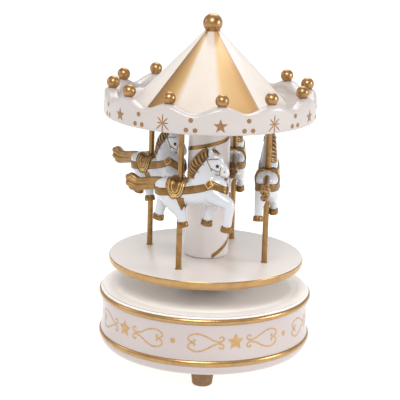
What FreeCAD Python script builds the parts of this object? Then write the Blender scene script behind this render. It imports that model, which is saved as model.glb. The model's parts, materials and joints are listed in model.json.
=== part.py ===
import FreeCAD, Part
import math
import os
import Sketcher
from FreeCAD import Placement, Rotation, Vector

# Carousel music box. Millimetres, +Z up, origin on the floor under the centre of the base.
# The spring barrel, spindle, platform, column, poles, horses and canopy turn together.

os.makedirs("parts", exist_ok=True)
doc = FreeCAD.newDocument("CarouselMusicBox")

# ---------------------------------------------------------------- driving dimensions

sheet = doc.addObject("Spreadsheet::Sheet", "Sizes")

DRIVING_SIZES = {
    # base drum
    "base_bottom": 9.3,
    "base_foot_radius": 48.9,
    "base_shoulder_radius": 53.3,
    "rim_radius": 54.2,
    "wall_waist_radius": 52.3,
    "lower_rim_height": 16.0,
    "upper_rim_height": 38.2,
    "rim_half_height": 2.1,
    "base_top": 40.3,
    "base_crown": 0.9,
    "shell_thickness": 2.6,
    "plate_radius": 46.2,
    "plate_thickness": 2.0,
    # feet
    "foot_ring_radius": 36.5,
    "foot_top_radius": 6.0,
    "foot_bottom_radius": 4.5,
    "foot_edge_round": 0.9,
    # screws that hold the plate, the feet, the movement and the hub
    "screw_radius": 1.4,
    "screw_head_radius": 2.6,
    "screw_head_height": 1.5,
    "post_ring_radius": 42.6,
    "post_radius": 3.4,
    # platform
    "platform_top": 57.05,
    "platform_radius": 49.5,
    "platform_band": 2.9,
    "platform_under_radius": 46.4,
    "platform_bottom": 52.0,
    "hub_radius": 7.5,
    "hub_flange_radius": 16.0,
    "hub_flange_thickness": 2.0,
    "hub_bottom": 42.9,
    "hub_screw_ring": 12.0,
    # column and poles
    "column_bottom_radius": 11.15,
    "column_top_radius": 10.3,
    "rod_radius": 1.4,
    "rod_ring_radius": 32.3,
    "rod_socket_depth": 3.0,
    # canopy
    "canopy_radius": 53.0,
    "canopy_bottom": 129.4,
    "lip_inner_radius": 46.2,
    "peak_height": 142.8,
    "valley_height": 139.2,
    "trough_height": 134.6,
    "cone_top_radius": 4.0,
    "cone_top": 171.4,
    "cone_slope": 1.03,
    "cone_wall": 2.6,
    "ceiling_thickness": 3.0,
    "ceiling_bottom": 131.0,
    "ball_radius": 3.25,
    "ball_ring_radius": 48.95,
    "ball_height": 145.2,
    "finial_radius": 4.85,
    "finial_height": 175.15,
    "lip_round": 2.2,
    "skirt_wall": 3.0,
    # spindle and bush
    "spindle_radius": 2.5,
    "bush_radius": 5.0,
    "bush_flange_radius": 7.0,
    "spindle_flange_radius": 6.0,
    "spindle_flange_thickness": 1.4,
    "platform_skin": 1.5,
    "running_gap": 0.05,
    # spring barrel and key
    "bedplate_thickness": 1.6,
    "barrel_radius": 13.5,
    "barrel_wall": 1.2,
    "barrel_bottom": 14.0,
    "barrel_top": 24.0,
    "barrel_floor": 1.0,
    "crown_tooth_height": 0.9,
    "crown_gap_width": 1.35,
    "crown_teeth": 40,
    "arbor_radius": 2.0,
    "arbor_collar_radius": 3.2,
    "key_bottom": 1.5,
    "key_top": 8.2,
    "key_half_width": 10.0,
    "key_thickness": 2.2,
    "key_eye_radius": 1.6,
    "mainspring_turns": 6,
    "mainspring_strip": 0.6,
    # note cylinder and its gears
    "cylinder_radius": 6.5,
    "cylinder_start": 16.0,
    "cylinder_length": 18.0,
    "cylinder_arbor_radius": 1.0,
    "cylinder_arbor_start": 9.0,
    "bracket_start": 14.2,
    "bracket_thickness": 1.1,
    "bracket_width": 6.0,
    "bracket_toe": 5.0,
    "pin_radius": 0.2,
    "pin_reach": 0.8,
    "crown_module": 0.625,
    "pinion_teeth": 10,
    "pinion_width": 2.0,
    "pinion_addendum": 0.4,
    "cylinder_gear_width": 1.2,
    "governor_pinion_width": 1.6,
    "governor_wheel_width": 0.7,
    "train_module": 0.35,
    "cylinder_gear_teeth": 30,
    "governor_pinion_teeth": 10,
    "governor_wheel_teeth": 24,
    # comb
    "comb_thickness": 2.2,
    "tooth_thickness": 0.9,
    "tooth_width": 0.75,
    "comb_teeth": 18,
    "comb_gap": 0.1,
    "comb_back": 24.5,
    "comb_root": 17.0,
    "comb_block_width": 7.0,
    "comb_screw_line": 21.0,
    "comb_screw_radius": 1.0,
    "comb_screw_head_radius": 1.7,
    # governor
    "frame_start": 36.8,
    "frame_plate": 1.2,
    "frame_gap": 3.8,
    "frame_top": 32.0,
    "frame_near_side": 3.0,
    "frame_width": 11.2,
    "frame_inner_width": 18.2,
    "frame_arm_width": 3.2,
    "frame_sole": 1.2,
    "governor_arbor_radius": 0.6,
    "worm_radius": 1.3,
    "worm_turns": 5,
    "worm_shaft_radius": 0.45,
    "fan_hub_radius": 1.0,
    "fan_blade_thickness": 0.4,
    "fan_bottom": 32.6,
    "fan_radius": 5.0,
    "fan_height": 3.4,
    # horses, worked out at full size and scaled together
    "horse_scale": 1.0,
}

for row, (alias, value) in enumerate(DRIVING_SIZES.items(), start=1):
    sheet.set(f"A{row}", alias)
    sheet.set(f"B{row}", str(value))
    sheet.setAlias(f"B{row}", alias)
doc.recompute()

FEET = {"foot_front": -90.0, "foot_rear_right": 30.0, "foot_rear_left": 150.0}
POST_ANGLES = (60.0, 180.0, 300.0)
MOVEMENT_SCREW_PLACES = ((-11.5, -11.5), (-11.5, 12.0), (23.0, 12.0))
COMB_SCREW_PLACES = (18.0, 25.0, 32.0)
HUB_SCREW_ANGLES = (30.0, 150.0, 270.0)
SCALLOP_STEP = 30.0
FIRST_PEAK_ANGLE = -83.5
PEAK_ANGLES = [FIRST_PEAK_ANGLE + SCALLOP_STEP * index for index in range(12)]

# The poles' angles about the centre, and each horse's saddle height and heading (from +X).
FIRST_ROD_ANGLE = -114.4
ROD_ANGLES = {
    "front_left": FIRST_ROD_ANGLE,
    "front_right": FIRST_ROD_ANGLE + 90.0,
    "rear_right": FIRST_ROD_ANGLE + 180.0,
    "rear_left": FIRST_ROD_ANGLE + 270.0,
}
HORSES = {
    "front_left": (102.9, -27.6),
    "front_right": (105.1, 86.0),
    "rear_right": (105.8, 88.0),
    "rear_left": (105.0, -48.0),
}

# The bedplate's corners, which follow the barrel, the comb's block and the governor.
BEDPLATE_CORNERS = (
    (-15.0, -15.0),
    (14.0, -15.0),
    (14.0, -25.0),
    (36.0, -25.0),
    (36.0, -7.0),
    (43.4, -7.0),
    (43.4, 14.8),
    (-15.0, 14.8),
)

Z_AXIS = Vector(0, 0, 1)
ORIGIN = Vector(0, 0, 0)
parts = []


# ---------------------------------------------------------------- building helpers


def number(expression):
    """The present value of an expression of the sheet's cells."""
    return float(doc.Sizes.evalExpression(str(expression)))


def cells(text):
    """An expression in which each driving dimension is read from the sheet."""
    words = []
    word = ""
    for letter in str(text) + " ":
        if letter.isalnum() or letter == "_":
            word += letter
            continue
        words.append(f"Sizes.{word}" if word in DRIVING_SIZES else word)
        words.append(letter)
        word = ""
    return "".join(words).strip()


def size(text):
    """The number that an expression in driving dimensions gives."""
    return number(cells(text))


def solid(kind, name, place=None, **sizes):
    """A Part primitive whose sizes are bound to the sheet."""
    shape = doc.addObject(f"Part::{kind}", name)
    for prop, expression in sizes.items():
        shape.setExpression(prop, cells(expression))
    if place is not None:
        shape.Placement = place
    return shape


def at(x=0.0, y=0.0, z=0.0, turn=0.0):
    """A placement at a point, turned about the vertical."""
    return Placement(Vector(x, y, z), Rotation(Z_AXIS, turn))


def bind_height(shape, expression):
    """Tie a shape's height above the floor to the sheet."""
    shape.setExpression("Placement.Base.z", cells(expression))


def upright(name, radius, bottom, top, x=0.0, y=0.0):
    """A vertical cylinder between two heights."""
    shape = solid("Cylinder", name, at(x, y), Radius=radius, Height=f"({top}) - ({bottom})")
    bind_height(shape, bottom)
    return shape


def lengthwise(name, radius, start, length, y, z):
    """A cylinder along +X."""
    place = Placement(Vector(0, y, 0), Rotation(Vector(0, 1, 0), 90))
    shape = solid("Cylinder", name, place, Radius=radius, Height=length)
    shape.setExpression("Placement.Base.x", cells(start))
    bind_height(shape, z)
    return shape


def block(name, x, y, z, length, width, height):
    """A box from its lowest corner."""
    shape = solid("Box", name, None, Length=length, Width=width, Height=height)
    shape.setExpression("Placement.Base.x", cells(x))
    shape.setExpression("Placement.Base.y", cells(y))
    bind_height(shape, z)
    return shape


def union(name, shapes):
    """Several solids joined into one."""
    joined = doc.addObject("Part::MultiFuse", name)
    joined.Shapes = shapes
    return joined


def without(name, base, tools):
    """A solid with other solids cut away from it."""
    tool = tools[0] if len(tools) == 1 else union(f"{name}_cutters", tools)
    cut = doc.addObject("Part::Cut", name)
    cut.Base = base
    cut.Tool = tool
    return cut


def group(name, shapes):
    """Separate equal solids kept together, such as a set of screws."""
    compound = doc.addObject("Part::Compound", name)
    compound.Links = shapes
    return compound


def part(label, shape):
    """Name a finished sub-part."""
    shape.Label = label
    parts.append(shape)
    return shape


def plane(body, role):
    """One of a body's own origin planes."""
    return next(f for f in body.Origin.OriginFeatures if f.Role == role)


def new_sketch(body, name, role, offset=None):
    """A sketch on one of a body's origin planes, lifted by an expression."""
    sketch = body.newObject("Sketcher::SketchObject", name)
    sketch.AttachmentSupport = [(plane(body, role), "")]
    sketch.MapMode = "FlatFace"
    if offset is not None:
        sketch.setExpression("AttachmentOffset.Base.z", cells(offset))
    return sketch


def pin_point(sketch, line, end, x, y):
    """Hold one end of a line at two coordinates that follow the sheet."""
    for kind, expression, axis in (("DistanceX", x, -2), ("DistanceY", y, -1)):
        if size(expression) == 0:
            sketch.addConstraint(make_constraint("PointOnObject", line, end, axis))
            continue
        index = sketch.addConstraint(make_constraint(kind, line, end, size(expression)))
        sketch.setExpression(f"Constraints[{index}]", cells(expression))


def make_constraint(kind, *values):
    """A sketch constraint."""
    return Sketcher.Constraint(kind, *values)


def outline(sketch, corners):
    """A closed outline. A corner is (x, y), or (x, y, bulge) where an arc leads to the next one.

    A positive bulge lies to the left of the way from one corner to the next.
    """
    count = len(corners)
    points = [Vector(size(corner[0]), size(corner[1]), 0) for corner in corners]
    for index, corner in enumerate(corners):
        start = points[index]
        end = points[(index + 1) % count]
        if len(corner) == 2:
            sketch.addGeometry(Part.LineSegment(start, end))
            continue
        bulge = size(corner[2])
        along = end - start
        left = Vector(-along.y, along.x, 0).normalize()
        middle = (start + end) * 0.5 + left * bulge
        sketch.addGeometry(Part.Arc(start, middle, end))
    for index, corner in enumerate(corners):
        following = (index + 1) % count
        first_end = end_nearest(sketch, index, points[following])
        next_start = end_nearest(sketch, following, points[following])
        sketch.addConstraint(make_constraint("Coincident", index, first_end, following, next_start))
    for index, corner in enumerate(corners):
        pin_point(sketch, index, end_nearest(sketch, index, points[index]), corner[0], corner[1])
        if len(corner) == 3:
            bind_bulge(sketch, index, corner, corners[(index + 1) % count])


def end_nearest(sketch, index, point):
    """Which end of a line or arc lies at a point: 1 is its start and 2 its end."""
    start = sketch.getPoint(index, 1)
    end = sketch.getPoint(index, 2)
    return 1 if start.distanceToPoint(point) < end.distanceToPoint(point) else 2


def bind_bulge(sketch, index, corner, following):
    """Tie an arc's radius to its chord and bulge."""
    chord = f"((({following[0]}) - ({corner[0]}))^2 + (({following[1]}) - ({corner[1]}))^2)"
    radius = f"({chord} + 4 * ({corner[2]})^2) / (8 * abs({corner[2]}))"
    constraint = sketch.addConstraint(make_constraint("Radius", index, size(radius)))
    sketch.setExpression(f"Constraints[{constraint}]", cells(radius))


def turned(name, corners):
    """A body turned about the vertical from an outline of (radius, height) corners."""
    body = doc.addObject("PartDesign::Body", name)
    sketch = new_sketch(body, f"{name}_outline", "XZ_Plane")
    outline(sketch, corners)
    turning = body.newObject("PartDesign::Revolution", f"{name}_turning")
    turning.Profile = sketch
    turning.ReferenceAxis = (sketch, ["V_Axis"])
    turning.Angle = 360.0
    body.Tip = turning
    doc.recompute()
    return body


def raised(name, corners, bottom, height):
    """A body raised from an outline of (x, y) corners."""
    body = doc.addObject("PartDesign::Body", name)
    sketch = new_sketch(body, f"{name}_outline", "XY_Plane", bottom)
    outline(sketch, corners)
    pad = body.newObject("PartDesign::Pad", f"{name}_pad")
    pad.Profile = sketch
    pad.setExpression("Length", cells(height))
    body.Tip = pad
    doc.recompute()
    return body


def repeat_round(body, feature, name, count):
    """Repeat a body's feature evenly about the vertical."""
    pattern = body.newObject("PartDesign::PolarPattern", name)
    pattern.Originals = [feature]
    pattern.Axis = (next(f for f in body.Origin.OriginFeatures if f.Role == "Z_Axis"), [""])
    pattern.Angle = 360.0
    pattern.setExpression("Occurrences", cells(count))
    body.Tip = pattern
    doc.recompute()
    return pattern


def spur_gear(name, teeth, module, width, bore, addendum="0.8"):
    """A flat gear on the XY plane, its first tooth on +X, with narrow teeth for free running."""
    root = f"({module}) * ({teeth}) / 2 - 1.15 * ({module})"
    tip = f"({module}) * ({teeth}) / 2 + ({addendum}) * ({module})"
    body = doc.addObject("PartDesign::Body", name)
    blank_sketch = new_sketch(body, f"{name}_blank_outline", "XY_Plane")
    for radius in (root, bore):
        circle = blank_sketch.addGeometry(Part.Circle(ORIGIN, Z_AXIS, size(radius)))
        blank_sketch.addConstraint(make_constraint("Coincident", circle, 3, -1, 1))
        index = blank_sketch.addConstraint(make_constraint("Radius", circle, size(radius)))
        blank_sketch.setExpression(f"Constraints[{index}]", cells(radius))
    blank = body.newObject("PartDesign::Pad", f"{name}_blank")
    blank.Profile = blank_sketch
    blank.setExpression("Length", cells(width))
    doc.recompute()
    tooth_sketch = new_sketch(body, f"{name}_tooth_outline", "XY_Plane")
    inner = f"({root}) - 0.3 * ({module})"
    half_root = f"0.8 * ({module})"
    half_tip = f"0.35 * ({module})"
    tooth_corners = [
        (inner, f"-({half_root})"),
        (tip, f"-({half_tip})"),
        (tip, half_tip),
        (inner, half_root),
    ]
    outline(tooth_sketch, tooth_corners)
    tooth = body.newObject("PartDesign::Pad", f"{name}_tooth")
    tooth.Profile = tooth_sketch
    tooth.setExpression("Length", cells(width))
    doc.recompute()
    repeat_round(body, tooth, f"{name}_teeth", teeth)
    return body


def along_x(shape, start, y, z, turn=0.0):
    """Lay a gear made on the XY plane on an axis along +X, turned about that axis."""
    lying = Rotation(Vector(0, 1, 0), 90)
    turned_about_x = Rotation(Vector(1, 0, 0), turn)
    shape.Placement = Placement(Vector(size(start), y, size(z)), turned_about_x * lying)


def screw(name, x, y, bottom, top, head_down=True):
    """A round-head screw between two heights."""
    head_top = f"({bottom}) + screw_head_height" if head_down else top
    head_bottom = bottom if head_down else f"({top}) - screw_head_height"
    shank = upright(f"{name}_shank", "screw_radius", bottom, top, x, y)
    head = upright(f"{name}_head", "screw_head_radius", head_bottom, head_top, x, y)
    return union(name, [shank, head])


def screw_cutters(name, x, y, bottom, top, head_down=True):
    """The clearance that one screw needs."""
    return screw(f"{name}_space", x, y, bottom, top, head_down)


def polar(radius, angle):
    """A point at a radius and an angle, as x and y."""
    radians = math.radians(angle)
    return radius * math.cos(radians), radius * math.sin(radians)


# ---------------------------------------------------------------- base


PLATE_TOP = "base_bottom + plate_thickness"
SCREW_BOTTOM = "base_bottom - 0.2"


def build_base_shell():
    """The drum: a rounded shoulder, two half-round rims, a hollow waist and a nearly flat top."""
    inner_radius = "wall_waist_radius - shell_thickness"
    ceiling = "base_top - shell_thickness"
    rim_bulge = "0 - (rim_radius - base_shoulder_radius)"
    waist_bulge = "base_shoulder_radius - wall_waist_radius"
    corners = [
        ("plate_radius + 0.2", "base_bottom"),
        ("base_foot_radius", "base_bottom", "-0.9"),
        ("base_shoulder_radius", "lower_rim_height - rim_half_height", rim_bulge),
        ("base_shoulder_radius", "lower_rim_height + rim_half_height", waist_bulge),
        ("base_shoulder_radius", "upper_rim_height - rim_half_height", rim_bulge),
        ("base_shoulder_radius", "base_top", "-0.3"),
        ("bush_flange_radius + 0.5", "base_top + base_crown"),
        ("bush_radius", "base_top + base_crown"),
        ("bush_radius", ceiling),
        (inner_radius, ceiling),
        (inner_radius, "base_bottom + 6"),
        ("plate_radius + 0.2", "base_bottom + 2.2"),
    ]
    drum = turned("base_drum", corners)
    posts = []
    holes = []
    for index, angle in enumerate(POST_ANGLES):
        x, y = polar(size("post_ring_radius"), angle)
        posts.append(upright(f"post_{index}", "post_radius", PLATE_TOP, "base_top - 1", x, y))
        holes.append(screw_cutters(f"post_hole_{index}", x, y, SCREW_BOTTOM, f"{PLATE_TOP} + 6"))
    with_posts = union("base_drum_with_posts", [drum, *posts])
    part("base_shell", without("base_shell", with_posts, holes))


def build_bottom_plate():
    """The disc that closes the base, with a way through for the winding key's arbor."""
    disc = upright("bottom_disc", "plate_radius", "base_bottom", PLATE_TOP)
    cutters = [upright("key_opening", "arbor_collar_radius", "base_bottom - 1", "base_bottom + 4")]
    for index, angle in enumerate(POST_ANGLES):
        x, y = polar(size("post_ring_radius"), angle)
        cutters.append(screw_cutters(f"plate_hole_{index}", x, y, SCREW_BOTTOM, f"{PLATE_TOP} + 1"))
    for index, angle in enumerate(FEET.values()):
        x, y = polar(size("foot_ring_radius"), angle)
        name = f"foot_hole_{index}"
        cutters.append(upright(name, "screw_radius", "base_bottom - 1", "base_bottom + 4", x, y))
    for index, (x, y) in enumerate(MOVEMENT_SCREW_PLACES):
        cutters.append(screw_cutters(f"bed_hole_{index}", x, y, SCREW_BOTTOM, f"{PLATE_TOP} + 1"))
    part("base_bottom_plate", without("base_bottom_plate", disc, cutters))


def build_feet():
    """Three tapered pegs with rounded edges, each held by a screw from inside the base."""
    screws = []
    for label, angle in FEET.items():
        x, y = polar(size("foot_ring_radius"), angle)
        corners = [
            ("0", "0"),
            ("foot_bottom_radius - foot_edge_round", "0", "-0.25"),
            ("foot_bottom_radius", "foot_edge_round"),
            ("foot_top_radius", "base_bottom - foot_edge_round", "-0.25"),
            ("foot_top_radius - foot_edge_round", "base_bottom"),
            ("0", "base_bottom"),
        ]
        peg = turned(f"{label}_peg", corners)
        peg.Placement = at(x, y)
        hole = upright(f"{label}_hole", "screw_radius", "base_bottom - 6", "base_bottom + 1", x, y)
        part(label, without(label, peg, [hole]))
        top = f"{PLATE_TOP} + screw_head_height"
        screws.append(screw(f"{label}_screw", x, y, "base_bottom - 5.5", top, head_down=False))
    part("foot_screws", group("foot_screws", screws))


def build_plate_screws():
    """Three screws that hold the bottom plate to the posts of the shell."""
    screws = []
    for index, angle in enumerate(POST_ANGLES):
        x, y = polar(size("post_ring_radius"), angle)
        screws.append(screw(f"plate_screw_{index}", x, y, SCREW_BOTTOM, f"{PLATE_TOP} + 5.5"))
    part("bottom_plate_screws", group("bottom_plate_screws", screws))


def build_spindle_bush():
    """The flanged bush in the top of the base, in which the spindle turns."""
    corners = [
        ("spindle_radius + running_gap", "base_top - shell_thickness - 2"),
        ("bush_radius", "base_top - shell_thickness - 2"),
        ("bush_radius", "base_top + base_crown"),
        ("bush_flange_radius", "base_top + base_crown"),
        ("bush_flange_radius", "base_top + base_crown + 0.8"),
        ("spindle_radius + running_gap", "base_top + base_crown + 0.8"),
    ]
    part("spindle_bush", turned("spindle_bush", corners))


# ---------------------------------------------------------------- musical movement


BED_TOP = f"{PLATE_TOP} + bedplate_thickness"
MESH_HEIGHT = "barrel_top + crown_tooth_height / 2"
CYLINDER_HEIGHT = f"{MESH_HEIGHT} + crown_module * pinion_teeth / 2"
WHEEL_OFFSET = "train_module * (cylinder_gear_teeth + governor_pinion_teeth) / 2"
WORM_OFFSET = f"{WHEEL_OFFSET} + train_module * governor_wheel_teeth / 2 + worm_radius"
WORM_LINE = "frame_start + frame_plate + frame_gap / 2"
CYLINDER_END = "cylinder_start + cylinder_length"


def build_bedplate():
    """The plate that carries the movement, with the winding arbor's bearing."""
    corners = [(str(x), str(y)) for x, y in BEDPLATE_CORNERS]
    plate = raised("bedplate_blank", corners, PLATE_TOP, "bedplate_thickness")
    cutters = [upright("arbor_bearing", "arbor_radius + running_gap", PLATE_TOP, f"{BED_TOP} + 1")]
    for index, (x, y) in enumerate(MOVEMENT_SCREW_PLACES):
        bottom = f"{PLATE_TOP} - 1"
        cutters.append(upright(f"bed_thread_{index}", "screw_radius", bottom, f"{BED_TOP} + 1", x, y))
    part("movement_bedplate", without("movement_bedplate", plate, cutters))
    screws = []
    for index, (x, y) in enumerate(MOVEMENT_SCREW_PLACES):
        screws.append(screw(f"movement_screw_{index}", x, y, SCREW_BOTTOM, BED_TOP))
    part("movement_screws", group("movement_screws", screws))


def build_spring_barrel():
    """A cup that opens downwards, with the crown wheel's teeth standing on its top."""
    inner = "barrel_radius - barrel_wall"
    tooth_inner = "barrel_radius - pinion_width"
    tooth_top = "barrel_top + crown_tooth_height"
    corners = [
        ("0", "barrel_top - barrel_floor"),
        (inner, "barrel_top - barrel_floor"),
        (inner, "barrel_bottom + barrel_floor"),
        ("barrel_radius", "barrel_bottom + barrel_floor"),
        ("barrel_radius", tooth_top),
        (tooth_inner, tooth_top),
        (tooth_inner, "barrel_top"),
        ("0", "barrel_top"),
    ]
    body = turned("spring_barrel", corners)
    before = body.Shape.Volume
    sketch = new_sketch(body, "crown_gap_outline", "XY_Plane", tooth_top)
    half_gap = "crown_gap_width / 2"
    gap_corners = [
        ("barrel_radius - pinion_width - 0.5", f"-({half_gap})"),
        ("barrel_radius + 0.5", f"-({half_gap})"),
        ("barrel_radius + 0.5", half_gap),
        ("barrel_radius - pinion_width - 0.5", half_gap),
    ]
    outline(sketch, gap_corners)
    gap = body.newObject("PartDesign::Pocket", "crown_gap")
    gap.Profile = sketch
    gap.setExpression("Length", cells("crown_tooth_height"))
    doc.recompute()
    repeat_round(body, gap, "crown_gaps", "crown_teeth")
    if body.Shape.Volume >= before:
        raise RuntimeError("the crown wheel's gaps cut nothing")
    part("spring_barrel", body)
    cover_corners = [
        ("arbor_radius + running_gap", "barrel_bottom"),
        ("barrel_radius", "barrel_bottom"),
        ("barrel_radius", "barrel_bottom + barrel_floor"),
        ("arbor_radius + running_gap", "barrel_bottom + barrel_floor"),
    ]
    part("barrel_cover", turned("barrel_cover", cover_corners))


def build_mainspring():
    """The flat coiled spring inside the barrel, between the arbor and the barrel's wall."""
    turns = size("mainspring_turns")
    strip = size("mainspring_strip")
    inner = size("arbor_radius") + 0.6
    outer = size("barrel_radius - barrel_wall") - 0.2
    steps = 96

    def spiral(start_radius, end_radius):
        points = []
        for step in range(steps + 1):
            share = step / steps
            radius = start_radius + (end_radius - start_radius) * share
            angle = 2 * math.pi * turns * share
            points.append(Vector(radius * math.cos(angle), radius * math.sin(angle), 0))
        curve = Part.BSplineCurve()
        curve.interpolate(points)
        return curve.toShape(), points[0], points[-1]

    inside, inside_start, inside_end = spiral(inner, outer - strip)
    outside, outside_start, outside_end = spiral(inner + strip, outer)
    ends = [Part.makeLine(inside_start, outside_start), Part.makeLine(inside_end, outside_end)]
    wire = Part.Wire(Part.__sortEdges__([inside, outside, *ends]))
    height = size("barrel_top - barrel_bottom - 2 * barrel_floor - 0.6")
    spring = doc.addObject("Part::Feature", "mainspring")
    spring.Shape = Part.Face(wire).extrude(Vector(0, 0, height))
    spring.Placement = at(z=size("barrel_bottom + barrel_floor + 0.3"))
    part("mainspring", spring)


def build_winding():
    """The arbor that winds the spring, and the butterfly key screwed to it under the base."""
    hook_bottom = "barrel_bottom + barrel_floor + 1"
    pieces = [
        upright("arbor_shaft", "arbor_radius", "key_bottom + 1", "barrel_top - barrel_floor - 0.3"),
        upright("arbor_collar", "arbor_collar_radius", f"{BED_TOP} + 0.1", "barrel_bottom - 0.2"),
    ]
    hook = block("arbor_hook", "0", "-0.4", hook_bottom, "arbor_radius + 0.35", "0.8", "5")
    part("winding_arbor", union("winding_arbor", [*pieces, hook]))
    boss = upright("key_boss", "arbor_collar_radius", "key_bottom", "key_top")
    wing_middle = "(key_bottom + key_top) / 2"
    wings = []
    eyes = []
    for side, word in ((-1, "left"), (1, "right")):
        wings.append(key_wing(word, side, wing_middle))
        eyes.append(key_eye(word, side, wing_middle))
    bow = union("key_bow", [boss, *wings])
    arbor_hole = upright("key_bore", "arbor_radius", "key_bottom + 1", "key_top + 1")
    part("winding_key", without("winding_key", bow, [*eyes, arbor_hole]))


def key_wing(word, side, height):
    """One flat oval wing of the key."""
    tall = "key_top - key_bottom"
    half_tall = f"({tall}) / 2"
    disc = solid("Cylinder", f"key_disc_{word}", None, Radius=half_tall, Height="key_thickness")
    disc.Placement = Placement(ORIGIN, Rotation(Vector(1, 0, 0), 90))
    disc.setExpression("Placement.Base.x", cells(f"{side} * (key_half_width - {half_tall})"))
    disc.setExpression("Placement.Base.y", cells("key_thickness / 2"))
    bind_height(disc, height)
    start = f"0 - key_half_width + {half_tall}" if side < 0 else "0"
    web_length = f"key_half_width - {half_tall}"
    near_side = "0 - key_thickness / 2"
    web = block(f"key_web_{word}", start, near_side, "key_bottom", web_length, "key_thickness", tall)
    return union(f"key_wing_{word}_solid", [disc, web])


def key_eye(word, side, height):
    """The round opening in one wing."""
    eye = solid("Cylinder", f"key_eye_{word}", None, Radius="key_eye_radius", Height="key_thickness + 2")
    eye.Placement = Placement(ORIGIN, Rotation(Vector(1, 0, 0), 90))
    middle = f"{side} * (key_half_width - (key_top - key_bottom) / 2)"
    eye.setExpression("Placement.Base.x", cells(middle))
    eye.setExpression("Placement.Base.y", cells("key_thickness / 2 + 1"))
    bind_height(eye, height)
    return eye


def build_note_cylinder():
    """The pinned cylinder on its arbor, with the crown wheel's pinion and the train's first gear."""
    z = CYLINDER_HEIGHT
    fit = "cylinder_arbor_radius"
    shell = lengthwise("cylinder_tube", "cylinder_radius", "cylinder_start", "cylinder_length", 0, z)
    bore = lengthwise("cylinder_bore", fit, "cylinder_start - 1", "cylinder_length + 2", 0, z)
    part("note_cylinder", without("note_cylinder", shell, [bore]))
    arbor_length = "frame_start + frame_plate + 0.4 - cylinder_arbor_start"
    arbor = lengthwise("cylinder_arbor", fit, "cylinder_arbor_start", arbor_length, 0, z)
    part("cylinder_arbor", arbor)
    pinion = spur_gear(
        "cylinder_pinion", "pinion_teeth", "crown_module", "pinion_width", fit, "pinion_addendum"
    )
    along_x(pinion, "barrel_radius - pinion_width", 0, z)
    part("cylinder_pinion", pinion)
    gear = spur_gear("cylinder_gear", "cylinder_gear_teeth", "train_module", "cylinder_gear_width", fit)
    along_x(gear, f"{CYLINDER_END} + 0.6", 0, z, 90)
    part("cylinder_gear", gear)
    part("cylinder_pins", build_pins())


def build_pins():
    """The steel pins that would pluck the comb: one track for each tooth."""
    pins_each = 4
    golden_turn = 137.508
    tracks = int(size("comb_teeth"))
    pitch = size("cylinder_length") / tracks
    foot = size("cylinder_radius") - 0.05
    middle = size(CYLINDER_HEIGHT)
    shapes = []
    for number_of_pin in range(tracks * pins_each):
        track = number_of_pin % tracks
        x = size("cylinder_start") + pitch * (track + 0.5)
        angle = math.radians(number_of_pin * golden_turn)
        outward = Vector(0, math.cos(angle), math.sin(angle))
        base = Vector(x, 0, middle) + outward * foot
        shapes.append(Part.makeCylinder(size("pin_radius"), size("pin_reach") + 0.05, base, outward))
    pins = doc.addObject("Part::Feature", "cylinder_pins")
    pins.Shape = Part.makeCompound(shapes)
    return pins


def build_cylinder_bracket():
    """The upright between the barrel and the cylinder that carries the arbor's inner end."""
    start = "bracket_start"
    side = "0 - bracket_width / 2"
    tall = f"{CYLINDER_HEIGHT} + bracket_width / 2 - ({BED_TOP})"
    stand = block("bracket_upright", start, side, BED_TOP, "bracket_thickness", "bracket_width", tall)
    thick = "bracket_thickness"
    toe = block("bracket_toe_plate", start, side, BED_TOP, "bracket_toe", "bracket_width", thick)
    joined = union("bracket_blank", [stand, toe])
    bearing = "cylinder_arbor_radius + running_gap"
    through = "bracket_thickness + 2"
    hole = lengthwise("bracket_bearing", bearing, "bracket_start - 1", through, 0, CYLINDER_HEIGHT)
    part("cylinder_bracket", without("cylinder_bracket", joined, [hole]))


def build_comb():
    """The steel comb on its block, its tooth tips just clear of the cylinder's pins."""
    tip = "0 - (cylinder_radius + pin_reach + comb_gap)"
    comb_back = "0 - comb_back"
    root = "0 - comb_root"
    screw_y = -size("comb_screw_line")
    start = "cylinder_start - 0.5"
    length = "cylinder_length + 1"
    comb_bottom = f"{CYLINDER_HEIGHT} - 0.6"
    block_height = f"{comb_bottom} - ({BED_TOP})"
    stand = block("comb_stand", start, comb_back, BED_TOP, length, "comb_block_width", block_height)
    stand_holes = []
    comb_holes = []
    screws = []
    for index, x in enumerate(COMB_SCREW_PLACES):
        bottom = f"{comb_bottom} - 5"
        top = f"{comb_bottom} + comb_thickness + 1"
        under_head = f"{comb_bottom} + comb_thickness"
        stand_holes.append(upright(f"comb_thread_{index}", "comb_screw_radius", bottom, top, x, screw_y))
        comb_holes.append(upright(f"comb_hole_{index}", "comb_screw_radius", bottom, top, x, screw_y))
        shank = upright(f"comb_screw_shank_{index}", "comb_screw_radius", bottom, top, x, screw_y)
        head = upright(f"comb_screw_head_{index}", "comb_screw_head_radius", under_head, top, x, screw_y)
        screws.append(union(f"comb_screw_{index}", [shank, head]))
    part("comb_block", without("comb_block", stand, stand_holes))
    back_width = "comb_back - comb_root"
    back = block("comb_back_bar", start, comb_back, comb_bottom, length, back_width, "comb_thickness")
    pieces = [back]
    pitch = size("cylinder_length / comb_teeth")
    for tooth in range(int(size("comb_teeth"))):
        middle = f"cylinder_start + {pitch * (tooth + 0.5):.4f} - tooth_width / 2"
        reach = f"({tip}) - ({root})"
        name = f"comb_tooth_{tooth}"
        pieces.append(block(name, middle, root, comb_bottom, "tooth_width", reach, "tooth_thickness"))
    part("comb", without("comb", union("comb_blank", pieces), comb_holes))
    part("comb_screws", group("comb_screws", screws))


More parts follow.
